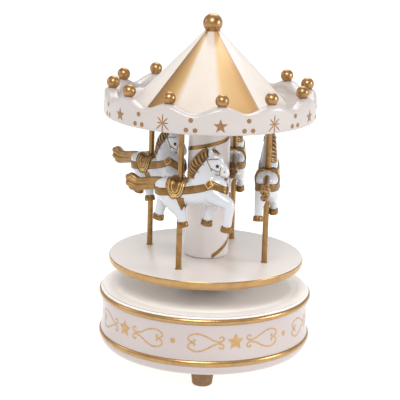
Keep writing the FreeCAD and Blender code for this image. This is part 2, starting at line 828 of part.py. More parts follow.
def build_governor():
    """The air-brake governor: a wheel and worm between two plates, with a fan on top."""
    height = f"frame_top - ({BED_TOP})"
    outer_start = "frame_start + frame_plate + frame_gap"
    start = "frame_start"
    near = "frame_near_side"
    inner_near = "frame_near_side + frame_width - frame_inner_width"
    arm_near = "frame_near_side + frame_width - frame_arm_width"
    across = "2 * frame_plate + frame_gap"
    arm_bottom = "frame_top - frame_sole"
    thick = "frame_plate"
    inner = block("frame_inner_plate", start, inner_near, BED_TOP, thick, "frame_inner_width", height)
    outer = block("frame_outer_plate", outer_start, near, BED_TOP, thick, "frame_width", height)
    sole = block("frame_sole_plate", start, near, BED_TOP, across, "frame_width", "frame_sole")
    arm = block("frame_arm", start, arm_near, arm_bottom, across, "frame_arm_width", "frame_sole")
    wheel_y = size(WHEEL_OFFSET)
    worm_y = size(WORM_OFFSET)
    worm_x = size(WORM_LINE)
    before_frame = "frame_start - 1"
    through = f"{across} + 2"
    cylinder_fit = "cylinder_arbor_radius + running_gap"
    wheel_fit = "governor_arbor_radius + running_gap"
    worm_fit = "worm_shaft_radius + running_gap"
    bearings = [
        lengthwise("outer_bearing", cylinder_fit, before_frame, "frame_plate + 2", 0, CYLINDER_HEIGHT),
        lengthwise("wheel_bearing", wheel_fit, before_frame, through, wheel_y, CYLINDER_HEIGHT),
        upright("worm_bearing", worm_fit, f"{BED_TOP} + 0.3", "frame_top + 1", worm_x, worm_y),
    ]
    frame = union("governor_frame_blank", [inner, outer, sole, arm])
    part("governor_frame", without("governor_frame", frame, bearings))
    fit = "governor_arbor_radius"
    length = f"{across} + 2.9"
    arbor = lengthwise("governor_arbor", fit, "frame_start - 2.5", length, wheel_y, CYLINDER_HEIGHT)
    part("governor_arbor", arbor)
    pinion = spur_gear(
        "governor_pinion", "governor_pinion_teeth", "train_module", "governor_pinion_width", fit
    )
    half_tooth = 180 / size("governor_pinion_teeth")
    along_x(pinion, f"{CYLINDER_END} + 0.4", wheel_y, CYLINDER_HEIGHT, 90 + half_tooth)
    part("governor_pinion", pinion)
    wheel = spur_gear("governor_wheel", "governor_wheel_teeth", "train_module", "governor_wheel_width", fit)
    along_x(wheel, f"{WORM_LINE} - governor_wheel_width / 2", wheel_y, CYLINDER_HEIGHT, 90)
    part("governor_wheel", wheel)
    build_worm(worm_x, worm_y)


def build_worm(x, y):
    """The upright worm that the governor wheel drives, and the two-bladed fan on its shaft."""
    lead = "train_module * 3.14159265"
    turns_below_wheel = 3
    start_height = f"{CYLINDER_HEIGHT} - 0.25 * ({lead}) - {turns_below_wheel} * ({lead})"
    helix = doc.addObject("Part::Helix", "worm_helix")
    helix.setExpression("Pitch", cells(lead))
    helix.setExpression("Height", cells(f"worm_turns * ({lead})"))
    helix.setExpression("Radius", cells("worm_radius"))
    doc.recompute()
    half = 0.16
    inner = size("worm_radius") - 0.45
    outer = size("worm_radius") + 0.25
    thread_section = Part.makePolygon(
        [
            Vector(inner, 0, -half - 0.08),
            Vector(outer, 0, -half),
            Vector(outer, 0, half),
            Vector(inner, 0, half + 0.08),
            Vector(inner, 0, -half - 0.08),
        ]
    )
    section = doc.addObject("Part::Feature", "worm_section")
    section.Shape = thread_section
    thread = doc.addObject("Part::Sweep", "worm_thread")
    thread.Sections = [section]
    thread.Spine = helix
    thread.Solid = True
    thread.Frenet = True
    doc.recompute()
    core_height = f"worm_turns * ({lead}) + 1.2"
    core = solid("Cylinder", "worm_core", at(z=-0.6), Radius="worm_radius - 0.35", Height=core_height)
    worm = union("worm_screw", [thread, core])
    worm.Placement = at(x, y, size(start_height))
    shaft_top = "fan_bottom + fan_height + 0.4"
    shaft = upright("worm_shaft", "worm_shaft_radius", f"{BED_TOP} + 0.5", shaft_top, x, y)
    part("governor_worm", union("governor_worm", [worm, shaft]))
    hub = upright("fan_hub", "fan_hub_radius", "fan_bottom", "fan_bottom + fan_height", x, y)
    blade_start = f"{WORM_LINE} - fan_radius"
    blade_side = f"{WORM_OFFSET} - fan_blade_thickness / 2"
    wide = "2 * fan_radius"
    thick = "fan_blade_thickness"
    blade = block("fan_blade", blade_start, blade_side, "fan_bottom", wide, thick, "fan_height")
    bore = upright("fan_bore", "worm_shaft_radius", "fan_bottom - 1", "fan_bottom + fan_height + 1", x, y)
    part("governor_fan", without("governor_fan", union("fan_blank", [hub, blade]), [bore]))


# ---------------------------------------------------------------- turning platform


def build_spindle_and_hub():
    """The spindle fixed to the barrel, and the flanged hub that it carries under the platform."""
    flange_top = "barrel_top + spindle_flange_thickness"
    flange = upright("spindle_flange", "spindle_flange_radius", "barrel_top", flange_top)
    shaft = upright("spindle_shaft", "spindle_radius", "barrel_top", "platform_top - platform_skin")
    part("drive_spindle", union("drive_spindle", [flange, shaft]))
    boss = upright("hub_boss", "hub_radius", "hub_bottom", "platform_bottom")
    flange_bottom = "platform_bottom - hub_flange_thickness"
    disc = upright("hub_flange", "hub_flange_radius", flange_bottom, "platform_bottom")
    cutters = [upright("hub_bore", "spindle_radius", "hub_bottom - 1", "platform_bottom + 1")]
    screws = []
    for index, angle in enumerate(HUB_SCREW_ANGLES):
        x, y = polar(size("hub_screw_ring"), angle)
        bottom = f"{flange_bottom} - screw_head_height"
        screws.append(screw(f"hub_screw_{index}", x, y, bottom, "platform_bottom + 2.5"))
        cutters.append(upright(f"hub_hole_{index}", "screw_radius", bottom, "platform_bottom + 1", x, y))
    part("platform_hub", without("platform_hub", union("hub_blank", [boss, disc]), cutters))
    part("hub_screws", group("hub_screws", screws))


def build_platform():
    """The turntable: flat on top, its edge rounded in to a smaller underside."""
    corners = [
        ("0", "platform_bottom"),
        ("platform_under_radius", "platform_bottom", "-0.55"),
        ("platform_radius", "platform_top - platform_band"),
        ("platform_radius", "platform_top - 0.5", "-0.12"),
        ("platform_radius - 0.5", "platform_top"),
        ("0", "platform_top"),
    ]
    disc = turned("platform_disc", corners)
    socket_top = "platform_top - platform_skin"
    cutters = [upright("spindle_socket", "spindle_radius", "platform_bottom - 1", socket_top)]
    for name, angle in ROD_ANGLES.items():
        x, y = polar(size("rod_ring_radius"), angle)
        bottom = "platform_top - rod_socket_depth"
        cutters.append(upright(f"rod_socket_{name}", "rod_radius", bottom, "platform_top + 1", x, y))
    for index, angle in enumerate(HUB_SCREW_ANGLES):
        x, y = polar(size("hub_screw_ring"), angle)
        top = "platform_bottom + 2.5"
        cutters.append(upright(f"hub_thread_{index}", "screw_radius", "platform_bottom - 1", top, x, y))
    part("platform", without("platform", disc, cutters))


def build_column():
    """The centre column, slightly tapered, with a rounded lower edge."""
    corners = [
        ("0", "platform_top"),
        ("column_bottom_radius - 1.2", "platform_top", "-0.35"),
        ("column_bottom_radius", "platform_top + 1.2"),
        ("column_top_radius", "ceiling_bottom"),
        ("0", "ceiling_bottom"),
    ]
    part("column", turned("column", corners))


def build_rods():
    """Four poles from the platform up into the canopy's ceiling."""
    for name, angle in ROD_ANGLES.items():
        x, y = polar(size("rod_ring_radius"), angle)
        bottom = "platform_top - rod_socket_depth"
        top = "ceiling_bottom + ceiling_thickness - 1"
        part(f"rod_{name}", upright(f"rod_{name}", "rod_radius", bottom, top, x, y))


# ---------------------------------------------------------------- canopy


def build_canopy():
    """The scalloped ring with the cone inside it, one moulding, and the ceiling under it."""
    trough_radius = "cone_top_radius + (cone_top - trough_height) / cone_slope"
    inner_trough = f"{trough_radius} - cone_wall"
    skirt_radius = "canopy_radius - skirt_wall"
    corners = [
        ("0", "cone_top"),
        ("0", "cone_top - cone_wall * 2"),
        (inner_trough, "trough_height - 0.6"),
        (skirt_radius, "trough_height - 0.6"),
        (skirt_radius, "canopy_bottom"),
        ("canopy_radius - 0.6", "canopy_bottom", "-0.15"),
        ("canopy_radius", "canopy_bottom + 0.6"),
        ("canopy_radius", "peak_height - lip_round", "-0.25 * lip_round"),
        ("canopy_radius - lip_round", "peak_height"),
        ("lip_inner_radius + lip_round", "peak_height", "-0.25 * lip_round"),
        ("lip_inner_radius", "peak_height - lip_round"),
        ("lip_inner_radius", "trough_height + 2"),
        ("cone_top_radius + (cone_top - trough_height - 2) / cone_slope", "trough_height + 2"),
        ("cone_top_radius", "cone_top"),
    ]
    ring = turned("canopy_blank", corners)
    sockets = [ball_at(f"ball_socket_{index}", angle) for index, angle in enumerate(PEAK_ANGLES)]
    tip_socket = solid("Sphere", "tip_socket", None, Radius="finial_radius")
    bind_height(tip_socket, "finial_height")
    part("canopy_shell", without("canopy_shell", ring, [*scallop_cutters(), *sockets, tip_socket]))


def ball_at(name, angle):
    """A sphere of a rim ball's size and place."""
    x, y = polar(size("ball_ring_radius"), angle)
    ball = solid("Sphere", name, at(x, y), Radius="ball_radius")
    bind_height(ball, "ball_height")
    return ball


def scallop_cutters():
    """Twelve round-bottomed cuts across the lip, each leaving a peak to either side."""
    depth = size("peak_height - valley_height")
    half_pitch = size("canopy_radius") * math.tan(math.radians(SCALLOP_STEP / 2))
    cutter_radius = (half_pitch**2 + depth**2) / (2 * depth)
    cutters = []
    for index, peak_angle in enumerate(PEAK_ANGLES):
        angle = peak_angle + SCALLOP_STEP / 2
        bar = solid("Cylinder", f"scallop_{index}", None, Radius=str(cutter_radius), Height="12")
        tilt = Rotation(Z_AXIS, angle) * Rotation(Vector(0, 1, 0), 90)
        x, y = polar(size("lip_inner_radius") - 2.5, angle)
        bar.Placement = Placement(Vector(x, y, size("valley_height") + cutter_radius), tilt)
        cutters.append(bar)
    return cutters


def build_ceiling():
    """The disc under the canopy that the column and the poles are fixed to."""
    ceiling_top = "ceiling_bottom + ceiling_thickness"
    disc = upright("ceiling_disc", "canopy_radius - skirt_wall - 0.1", "ceiling_bottom", ceiling_top)
    cutters = []
    for name, angle in ROD_ANGLES.items():
        x, y = polar(size("rod_ring_radius"), angle)
        top = "ceiling_bottom + ceiling_thickness - 1"
        cutters.append(upright(f"ceiling_socket_{name}", "rod_radius", "ceiling_bottom - 1", top, x, y))
    part("canopy_ceiling", without("canopy_ceiling", disc, cutters))


def build_balls():
    """Twelve balls seated in the scallops' peaks, and the ball on the tip."""
    balls = [ball_at(f"rim_ball_{index}", angle) for index, angle in enumerate(PEAK_ANGLES)]
    part("canopy_balls", group("canopy_balls", balls))
    ball = solid("Sphere", "finial_ball", None, Radius="finial_radius")
    bind_height(ball, "finial_height")
    part("finial_ball", ball)


# ---------------------------------------------------------------- horses


def limb(name, start, end, start_radius, end_radius):
    """A tapered round limb between two points of a horse, with a round end."""
    lower = Vector(*start)
    upper = Vector(*end)
    along = upper - lower
    cone = solid(
        "Cone",
        name,
        None,
        Radius1=f"{start_radius} * horse_scale",
        Radius2=f"{end_radius} * horse_scale",
        Height=f"{along.Length:.4f} * horse_scale",
    )
    cone.Placement = Placement(lower * size("horse_scale"), Rotation(Z_AXIS, along))
    knob = solid("Sphere", f"{name}_end", None, Radius=f"{end_radius} * horse_scale")
    knob.Placement = Placement(upper * size("horse_scale"), Rotation())
    return [cone, knob]


def horse_pieces(tag):
    """A jumping horse. X runs forward, Y to its left, and the pole is at X 0, Y 0, saddle at Z 0."""
    rump = solid("Sphere", f"{tag}_rump", None, Radius="6.4 * horse_scale")
    rump.Placement = Placement(Vector(-9.0, 0, -6.9) * size("horse_scale"), Rotation())
    masses = [
        rump,
        *limb(f"{tag}_barrel", (-9.0, 0, -6.9), (12.0, 0, -6.2), 6.2, 5.7),
        *limb(f"{tag}_chest", (11.5, 0, -5.8), (19.8, 0, -3.6), 5.6, 4.8),
        *limb(f"{tag}_saddle", (-3.0, 0, -4.7), (3.4, 0, -4.6), 5.9, 5.8),
        *limb(f"{tag}_neck", (13.6, 0, -1.5), (13.8, 0, 11.0), 6.4, 3.9),
        *limb(f"{tag}_head", (14.6, 0, 13.0), (23.6, 0, 6.6), 3.7, 2.7),
        *limb(f"{tag}_tail_root", (-12.0, 0, -3.4), (-20.5, 0, -3.8), 1.6, 2.9),
        *limb(f"{tag}_tail_tip", (-20.0, 0, -3.8), (-26.4, 0, -5.2), 2.8, 1.4),
    ]
    legs = []
    for side, knee, shin, hoof in (
        (-1, (29.0, -8.0), (28.2, -16.5), (27.6, -19.8)),
        (1, (16.6, -13.2), (15.6, -18.0), (14.6, -20.2)),
    ):
        y = side * 2.7
        legs += limb(f"{tag}_foreleg_{side}", (20.0, y, -7.2), (knee[0], y, knee[1]), 2.9, 2.4)
        legs += limb(f"{tag}_foreshin_{side}", (knee[0], y, knee[1]), (shin[0], y, shin[1]), 2.4, 2.0)
        legs += limb(f"{tag}_forehoof_{side}", (shin[0], y, shin[1]), (hoof[0], y, hoof[1]), 2.0, 1.9)
    for side, hock, hoof in (
        (-1, (2.2, -16.0), (3.4, -21.2)),
        (1, (-12.2, -15.4), (-13.6, -21.2)),
    ):
        y = side * 3.1
        legs += limb(f"{tag}_thigh_{side}", (-7.5, y, -8.5), (hock[0], y, hock[1]), 4.4, 2.8)
        legs += limb(f"{tag}_shin_{side}", (hock[0], y, hock[1]), (hoof[0], y, hoof[1]), 2.8, 2.1)
    return [*masses, *legs]


def build_horses():
    """One horse on each pole, drilled from saddle to belly for it."""
    for name, (saddle, heading) in HORSES.items():
        label = f"horse_{name}"
        body = union(f"{label}_body", horse_pieces(label))
        bore = upright(f"{label}_bore", "rod_radius", "-40", "40")
        horse = without(label, body, [bore])
        x, y = polar(size("rod_ring_radius"), ROD_ANGLES[name])
        horse.Placement = at(x, y, saddle, heading)
        part(label, horse)


# ---------------------------------------------------------------- build, check and write


def check_document():
    """Stop if any object failed or any sub-part is not a sound solid."""
    for item in doc.Objects:
        if "Invalid" in item.State or "Error" in item.State:
            raise RuntimeError(f"{item.Label} failed: {item.State}")
    for item in parts:
        if item.Shape.isNull() or not item.Shape.isValid() or not item.Shape.Solids:
            raise RuntimeError(f"{item.Label} is not a sound solid")


def write_parts():
    """One STEP file for each sub-part."""
    for item in parts:
        item.Shape.exportStep(os.path.join("parts", f"{item.Label}.step"))


build_base_shell()
build_bottom_plate()
build_feet()
build_plate_screws()
build_spindle_bush()
build_bedplate()
build_spring_barrel()
build_mainspring()
build_winding()
build_note_cylinder()
build_cylinder_bracket()
build_comb()
build_governor()
build_spindle_and_hub()
build_platform()
build_column()
build_rods()
build_canopy()
build_ceiling()
build_balls()
build_horses()
doc.recompute()
check_document()
write_parts()
print(len(parts), "parts")
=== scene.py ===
import json
import math
from contextlib import contextmanager

import bmesh
import bpy
from mathutils import Matrix, Vector
from mathutils.bvhtree import BVHTree


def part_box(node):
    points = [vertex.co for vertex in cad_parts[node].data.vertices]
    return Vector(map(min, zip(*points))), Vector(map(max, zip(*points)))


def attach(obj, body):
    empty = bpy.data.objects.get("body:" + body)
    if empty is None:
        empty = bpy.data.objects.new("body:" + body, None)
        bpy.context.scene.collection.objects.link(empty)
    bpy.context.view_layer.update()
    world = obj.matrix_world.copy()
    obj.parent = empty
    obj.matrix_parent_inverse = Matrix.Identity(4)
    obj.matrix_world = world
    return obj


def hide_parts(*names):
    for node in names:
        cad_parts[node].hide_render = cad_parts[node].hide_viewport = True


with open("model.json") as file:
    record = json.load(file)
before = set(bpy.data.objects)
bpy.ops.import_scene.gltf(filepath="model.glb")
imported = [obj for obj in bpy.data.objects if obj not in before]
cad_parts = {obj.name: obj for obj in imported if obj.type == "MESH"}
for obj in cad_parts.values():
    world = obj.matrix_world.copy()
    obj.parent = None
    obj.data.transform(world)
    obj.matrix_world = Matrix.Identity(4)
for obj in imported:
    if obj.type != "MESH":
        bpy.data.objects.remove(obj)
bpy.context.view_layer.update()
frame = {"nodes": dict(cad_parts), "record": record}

# The object is worked out in millimetres, which become metres as they enter a mesh or a matrix.
# Materials and the stage are in metres.
MM = 0.001

# ---------------------------------------------------------------- sizes read from the frame


def box(node):
    """The low and high corner of a CAD node, in millimetres."""
    return [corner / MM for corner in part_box(node)]


BASE_LOW, BASE_HIGH = box("base_shell")
PLATFORM_LOW, PLATFORM_HIGH = box("platform")
CANOPY_LOW, CANOPY_HIGH = box("canopy_shell")
COLUMN_LOW, COLUMN_HIGH = box("column")
BALLS_LOW, BALLS_HIGH = box("canopy_balls")
FINIAL_LOW, FINIAL_HIGH = box("finial_ball")
FOOT_LOW, FOOT_HIGH = box("foot_front")

BASE_RADIUS = BASE_HIGH.x
PLATFORM_RADIUS = PLATFORM_HIGH.x
CANOPY_RADIUS = CANOPY_HIGH.x
COLUMN_FOOT_RADIUS = COLUMN_HIGH.x
BALL_RADIUS = (BALLS_HIGH.z - BALLS_LOW.z) / 2
BALL_RING_RADIUS = BALLS_HIGH.x - BALL_RADIUS
BALL_HEIGHT = (BALLS_HIGH.z + BALLS_LOW.z) / 2


def azimuth_point(radius, azimuth, z):
    """A point at a radius and an azimuth in degrees, counted from the front towards the right, in metres."""
    turn = math.radians(azimuth)
    return Vector((radius * math.sin(turn), -radius * math.cos(turn), z)) * MM


# ---------------------------------------------------------------- materials


def srgb(red, green, blue):
    """A colour given as 0 to 255 screen values, in linear light."""
    def linear(value):
        share = value / 255
        return share / 12.92 if share <= 0.04045 else ((share + 0.055) / 1.055) ** 2.4
    return (linear(red), linear(green), linear(blue), 1.0)


NONE = (0.0, 0.0, 0.0, 1.0)
FULL = (1.0, 1.0, 1.0, 1.0)
WHOLE_TURN = 2 * math.pi


def shade(colour, factor):
    """A colour made darker or lighter, with no channel above 1."""
    return tuple(min(1.0, channel * factor) for channel in colour[:3]) + (1.0,)


class Nodes:
    """A short way to write a material. Inputs are constants or the output sockets of other nodes."""

    def __init__(self, name):
        self.material = bpy.data.materials.new(name)
        self.material.use_nodes = True
        self.tree = self.material.node_tree
        self.tree.nodes.clear()
        self.shader = self.add("ShaderNodeBsdfPrincipled", {})
        self.add("ShaderNodeOutputMaterial", {"Surface": self.shader.outputs["BSDF"]})
        self.place = self.add("ShaderNodeTexCoord", {}).outputs["Object"]

    def add(self, kind, inputs, **settings):
        node = self.tree.nodes.new(kind)
        for name, value in settings.items():
            setattr(node, name, value)
        self.feed(node, inputs)
        return node

    def feed(self, node, inputs):
        for name, value in inputs.items():
            if isinstance(value, bpy.types.NodeSocket):
                self.tree.links.new(value, node.inputs[name])
            else:
                node.inputs[name].default_value = value

    def set(self, **inputs):
        """Set the shader's own inputs; an underscore stands for a space."""
        self.feed(self.shader, {name.replace("_", " "): value for name, value in inputs.items()})

    def noise(self, scale, detail, rough, stretch=(1, 1, 1)):
        """Noise in the object's own space, with its scale counted per metre."""
        mapping = self.add("ShaderNodeMapping", {"Vector": self.place, "Scale": stretch})
        inputs = {"Vector": mapping.outputs["Vector"], "Scale": scale, "Detail": detail, "Roughness": rough}
        return self.add("ShaderNodeTexNoise", inputs).outputs["Fac"]

    def ramp(self, source, stops):
        """Colours laid over a value."""
        node = self.add("ShaderNodeValToRGB", {"Fac": source})
        elements = node.color_ramp.elements
        while len(elements) < len(stops):
            elements.new(0.5)
        for element, (position, colour) in zip(elements, stops):
            element.position = position
            element.color = colour
        return node.outputs["Color"]

    def mix(self, factor, first, second, blend="MIX"):
        """Two colours mixed; a mix node's colours are its inputs 6 and 7 and its output 2."""
        inputs = {0: factor, 6: first, 7: second}
        return self.add("ShaderNodeMix", inputs, data_type="RGBA", blend_type=blend).outputs[2]

    def maths(self, operation, *values):
        return self.add("ShaderNodeMath", dict(enumerate(values)), operation=operation).outputs[0]

    def finished(self, colour, fine, roughness, ripple, strength, depth=0.00005, **rest):
        """Join up the shader: one noise spreads the roughness between two values, one makes the bumps."""
        spread = {"Value": fine, "To Min": roughness[0], "To Max": roughness[1]}
        rough = self.add("ShaderNodeMapRange", spread).outputs["Result"]
        bump = self.add("ShaderNodeBump", {"Height": ripple, "Strength": strength, "Distance": depth})
        self.set(Base_Color=colour, Roughness=rough, Normal=bump.outputs["Normal"], **rest)
        return self.material


def painted_white(name, screen, streaks=0.0, coat=0.35, roughness=0.32):
    """White lacquer with slight unevenness, and faint brush streaks where they are asked for."""
    nodes = Nodes(name)
    tint = srgb(*screen)
    colour = nodes.ramp(nodes.noise(40, 2, 0.5), [(0.3, shade(tint, 0.95)), (0.7, tint)])
    if streaks:
        grain = nodes.noise(26, 1, 0.4, (0.12, 1.6, 1.0))
        line = nodes.ramp(grain, [(0.44, NONE), (0.72, FULL)])
        colour = nodes.mix(nodes.maths("MULTIPLY", line, streaks), colour, srgb(214, 198, 196))
    spread = (roughness - 0.02, roughness + 0.03)
    return nodes.finished(colour, nodes.noise(250, 2, 0.5), spread, nodes.noise(160, 3, 0.5), 0.05, 0.0002,
                          Coat_Weight=coat, Coat_Roughness=0.12)


def antique_gold(name, light, dark, metallic, roughness, scale):
    """Gold paint: metal flake in an uneven coat, darker where it lies thick."""
    nodes = Nodes(name)
    gold = srgb(*light)
    stops = [(0.28, srgb(*dark)), (0.5, gold), (0.8, shade(gold, 1.12))]
    colour = nodes.ramp(nodes.noise(scale, 5, 0.62), stops)
    fine = nodes.noise(scale * 9, 2, 0.5)
    return nodes.finished(colour, fine, (roughness - 0.03, roughness + 0.05), fine, 0.03, 0.00006,
                          Metallic=metallic, Coat_Weight=0.15, Coat_Roughness=0.2)


# The striped cone. Its first gold sector starts at this azimuth; angles after it are counted from there.
GOLD_START = -53.5
GOLD_SECTORS = (0.0, 144.5)
GOLD_WIDTH = 93.0
COLOUR_STEP = 0.3

# Where each colour falls, in degrees from the start of a gold sector.
# The gold is painted darker towards each edge and lighter towards its middle, which is washed to cream from
# 27.9 to 58.5 degrees: painted shading and a painted highlight, laid the same on both gold sectors.
CONE_COLOURS_WITH_PAINTED_GLARE = (
    (0.0, srgb(140, 96, 46)),
    (9.0, srgb(170, 128, 72)),
    (20.7, srgb(204, 166, 106)),
    (27.9, srgb(225, 213, 200)),
    (58.5, srgb(225, 213, 200)),
    (64.8, srgb(226, 190, 136)),
    (82.8, srgb(212, 168, 112)),
    (GOLD_WIDTH - COLOUR_STEP, srgb(184, 142, 86)),
    (GOLD_WIDTH, srgb(222, 213, 205)),
)
# Where the cone is metallic: not under the painted cream highlight in the middle of each gold sector.
CONE_METAL_MASK = (
    (0.0, FULL),
    (18.0, FULL),
    (28.8, NONE),
    (57.6, NONE),
    (66.6, FULL),
    (GOLD_WIDTH - COLOUR_STEP, FULL),
    (GOLD_WIDTH, NONE),
)


def cone_stops(sector):
    """The stops of one gold sector laid out for each sector round the whole cone."""
    stops = []
    for start in GOLD_SECTORS:
        if start > 0:
            stops.append(((start - COLOUR_STEP) / 360, sector[-1][1]))
        stops += [((start + angle) / 360, colour) for angle, colour in sector]
    return stops


def striped_cone(name):
    """Gold and white sectors by angle round the axis, with a fine dark seam at each edge; each gold sector
    carries painted shading, darker at its edges, and a painted cream highlight across its middle.
    """
    nodes = Nodes(name)
    place = nodes.add("ShaderNodeSeparateXYZ", {0: nodes.place}).outputs
    angle = nodes.maths("ARCTAN2", place["X"], nodes.maths("MULTIPLY", place["Y"], -1.0))
    turned = nodes.maths("SUBTRACT", angle, math.radians(GOLD_START))
    turns = nodes.maths("DIVIDE", nodes.maths("ADD", turned, WHOLE_TURN), WHOLE_TURN)
    phase = nodes.maths("FRACT", turns)
    near = nodes.maths("SUBTRACT", 1.0, phase)
    for start in GOLD_SECTORS:
        for seam_angle in (start, start + GOLD_WIDTH):
            past = nodes.maths("SUBTRACT", phase, seam_angle / 360)
            near = nodes.maths("MINIMUM", near, nodes.maths("ABSOLUTE", past))
    flat = nodes.add("ShaderNodeVectorMath", {0: nodes.place, 1: (1, 1, 0)}, operation="MULTIPLY").outputs[0]
    radius = nodes.add("ShaderNodeVectorMath", {0: flat}, operation="LENGTH").outputs["Value"]
    distance = nodes.maths("MULTIPLY", nodes.maths("MULTIPLY", near, WHOLE_TURN), radius)
    fade = {"Value": distance, "From Min": 0.00012, "From Max": 0.00034, "To Min": 0.55, "To Max": 0.0}
    seam = nodes.add("ShaderNodeMapRange", fade).outputs["Result"]
    cloud = nodes.noise(70, 5, 0.6, (1, 1, 0.25))
    dulled = nodes.ramp(cloud, [(0.3, shade(FULL, 0.9)), (0.7, FULL)])
    # The ramp lays the gold with its painted shading and painted highlight, and the white.
    painted = nodes.mix(1.0, nodes.ramp(phase, cone_stops(CONE_COLOURS_WITH_PAINTED_GLARE)), dulled, blend="MULTIPLY")
    colour = nodes.mix(seam, painted, srgb(120, 78, 34))
    metal = nodes.maths("MULTIPLY", nodes.ramp(phase, cone_stops(CONE_METAL_MASK)), 0.3)
    ripple = nodes.noise(180, 3, 0.5)
    return nodes.finished(colour, nodes.noise(900, 2, 0.5), (0.36, 0.46), ripple, 0.06, 0.0002,
                          Metallic=metal, Coat_Weight=0.3, Coat_Roughness=0.16)


def grained(name, grain_settings, stops, roughness, strength, depth=0.00005, **rest):
    """A material whose colour, roughness and bumps all follow one grain."""
    nodes = Nodes(name)
    grain = nodes.noise(*grain_settings)
    return nodes.finished(nodes.ramp(grain, stops), grain, roughness, grain, strength, depth, **rest)


def plain_metal(name, screen, roughness, scale=500):
    """Bare metal with fine drawn or cast texture."""
    stops = [(0.3, shade(srgb(*screen), 0.8)), (0.7, srgb(*screen))]
    spread = (roughness - 0.06, roughness + 0.1)
    return grained(name, (scale, 4, 0.6, (1, 1, 0.15)), stops, spread, 0.15, Metallic=1.0)


def moulded_plastic(name, screen):
    """Moulded plastic with a fine spark-eroded grain."""
    stops = [(0.3, shade(srgb(*screen), 0.9)), (0.7, srgb(*screen))]
    return grained(name, (1400, 3, 0.6), stops, (0.42, 0.58), 0.2)


def wood_board(name, light, dark, scale):
    """Bare or stained wood with long grain."""
    stops = [(0.32, srgb(*dark)), (0.68, srgb(*light))]
    return grained(name, (scale, 6, 0.65, (0.18, 2.4, 1.0)), stops, (0.45, 0.62), 0.25, 0.0002)


def gold_hair_with_groove_shade(name):
    """Gold hair: bright on the locks, with painted shade, dark brown, down in the grooves between them."""
    nodes = Nodes(name)
    groove_shade = nodes.add("ShaderNodeAttribute", {}, attribute_name="groove_shade").outputs["Fac"]
    cloud = nodes.noise(350, 4, 0.6)
    gold = nodes.ramp(cloud, [(0.3, srgb(140, 102, 52)), (0.7, srgb(172, 132, 76))])
    colour = nodes.mix(groove_shade, gold, srgb(66, 38, 14))
    return nodes.finished(colour, cloud, (0.28, 0.42), nodes.noise(2200, 2, 0.5), 0.15,
                          Metallic=0.45, Coat_Weight=0.3, Coat_Roughness=0.15)


def glossy_black(name):
    """The wet-looking black enamel of an eye."""
    nodes = Nodes(name)
    cloud = nodes.noise(900, 2, 0.5)
    tone = nodes.ramp(cloud, [(0.3, srgb(8, 7, 7)), (0.8, srgb(22, 18, 16))])
    rough = nodes.add("ShaderNodeMapRange", {"Value": cloud, "To Min": 0.3, "To Max": 0.4})
    nodes.set(Base_Color=tone, Roughness=rough.outputs["Result"], Coat_Weight=0.1, Coat_Roughness=0.1)
    return nodes.material


# One white lacquer in several copies, each set lighter or darker for how the light falls where it is used:
# painted light and painted shade.
WHITE = painted_white("white_lacquer", (191, 183, 179))
WHITE_WALL_SHADED = painted_white("white_lacquer_shaded_wall", (192, 180, 177))
WHITE_PLATFORM = painted_white("white_lacquer_platform", (224, 217, 211), streaks=0.3, coat=0.4)
WHITE_TOP_LIT = painted_white("white_lacquer_lit_top", (250, 246, 241), coat=0.4, roughness=0.34)
WHITE_COLUMN = painted_white("white_column", (232, 224, 221), coat=0.4)
HORSE_WHITE = painted_white("horse_enamel", (196, 197, 201), coat=0.85, roughness=0.2)

GOLD_LOOKS = (
    # name, light and dark screen colours, metallic, roughness, noise scale
    ("rim_gold", (182, 144, 94), (168, 130, 80), 0.88, 0.25, 180),
    ("ball_gold", (170, 130, 84), (134, 98, 58), 0.85, 0.28, 300),
    ("rod_gold", (156, 119, 71), (122, 88, 48), 0.9, 0.34, 260),
    ("print_gold", (190, 152, 100), (170, 132, 82), 0.25, 0.4, 500),
    ("print_brown", (146, 106, 62), (122, 86, 48), 0.3, 0.4, 500),
    ("tack_gold", (136, 100, 52), (104, 73, 36), 0.8, 0.34, 350),
    ("tack_line_gold", (214, 178, 116), (180, 138, 78), 0.45, 0.3, 500),
    ("dark_line_brown", (92, 62, 30), (62, 40, 18), 0.2, 0.4, 500),
)
GOLDS = [antique_gold(*look) for look in GOLD_LOOKS]
RIM_GOLD, BALL_GOLD, ROD_GOLD, PRINT_GOLD, PRINT_BROWN, TACK_GOLD, TACK_LINE, DARK_LINE = GOLDS
HAIR_GOLD = gold_hair_with_groove_shade("hair_gold")
EYE_BLACK = glossy_black("eye_black")
CONE_PAINT = striped_cone("cone_paint")

WHITE_WOOD = "white_lacquered_wood"
GOLD_WOOD = "gold_painted_wood"


# ---------------------------------------------------------------- mesh helpers

CRISP = 50  # degrees: edges sharper than this are not smoothed


def new_piece(name, vertices, faces, material, body):
    """A smooth mesh piece that rides on a body."""
    mesh = bpy.data.meshes.new(name)
    mesh.from_pydata([tuple(v) for v in vertices], [], faces)
    mesh.materials.append(material)
    for polygon in mesh.polygons:
        polygon.use_smooth = True
    mesh.update()
    piece = bpy.data.objects.new(name, mesh)
    bpy.context.scene.collection.objects.link(piece)
    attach(piece, body)
    return piece


def arc_points(start, end, bulge, steps):
    """Points from start to end on an arc that stands out to the left by the bulge; the last is left out."""
    chord = Vector(end) - Vector(start)
    half = chord.length / 2
    left = Vector((-chord.y, chord.x)).normalized()
    radius = (half * half + bulge * bulge) / (2 * abs(bulge))
    side = 1 if bulge > 0 else -1
    centre = Vector(start) + chord / 2 - left * side * (radius - abs(bulge))
    first = Vector(start) - centre
    sweep = 2 * math.asin(min(1.0, half / radius)) * -side
    return [tuple(centre + Matrix.Rotation(sweep * step / steps, 2) @ first) for step in range(steps)]


def profile(corners, arc_steps):
    """An outline of (radius, height) points, in metres, from corners; a corner's third number is a bulge."""
    points = []
    for corner, following in zip(corners, corners[1:] + corners[-1:]):
        if len(corner) == 3:
            points += arc_points(corner[:2], following[:2], corner[2], arc_steps)
        else:
            points.append(corner)
    return [(radius * MM, height * MM) for radius, height in points]


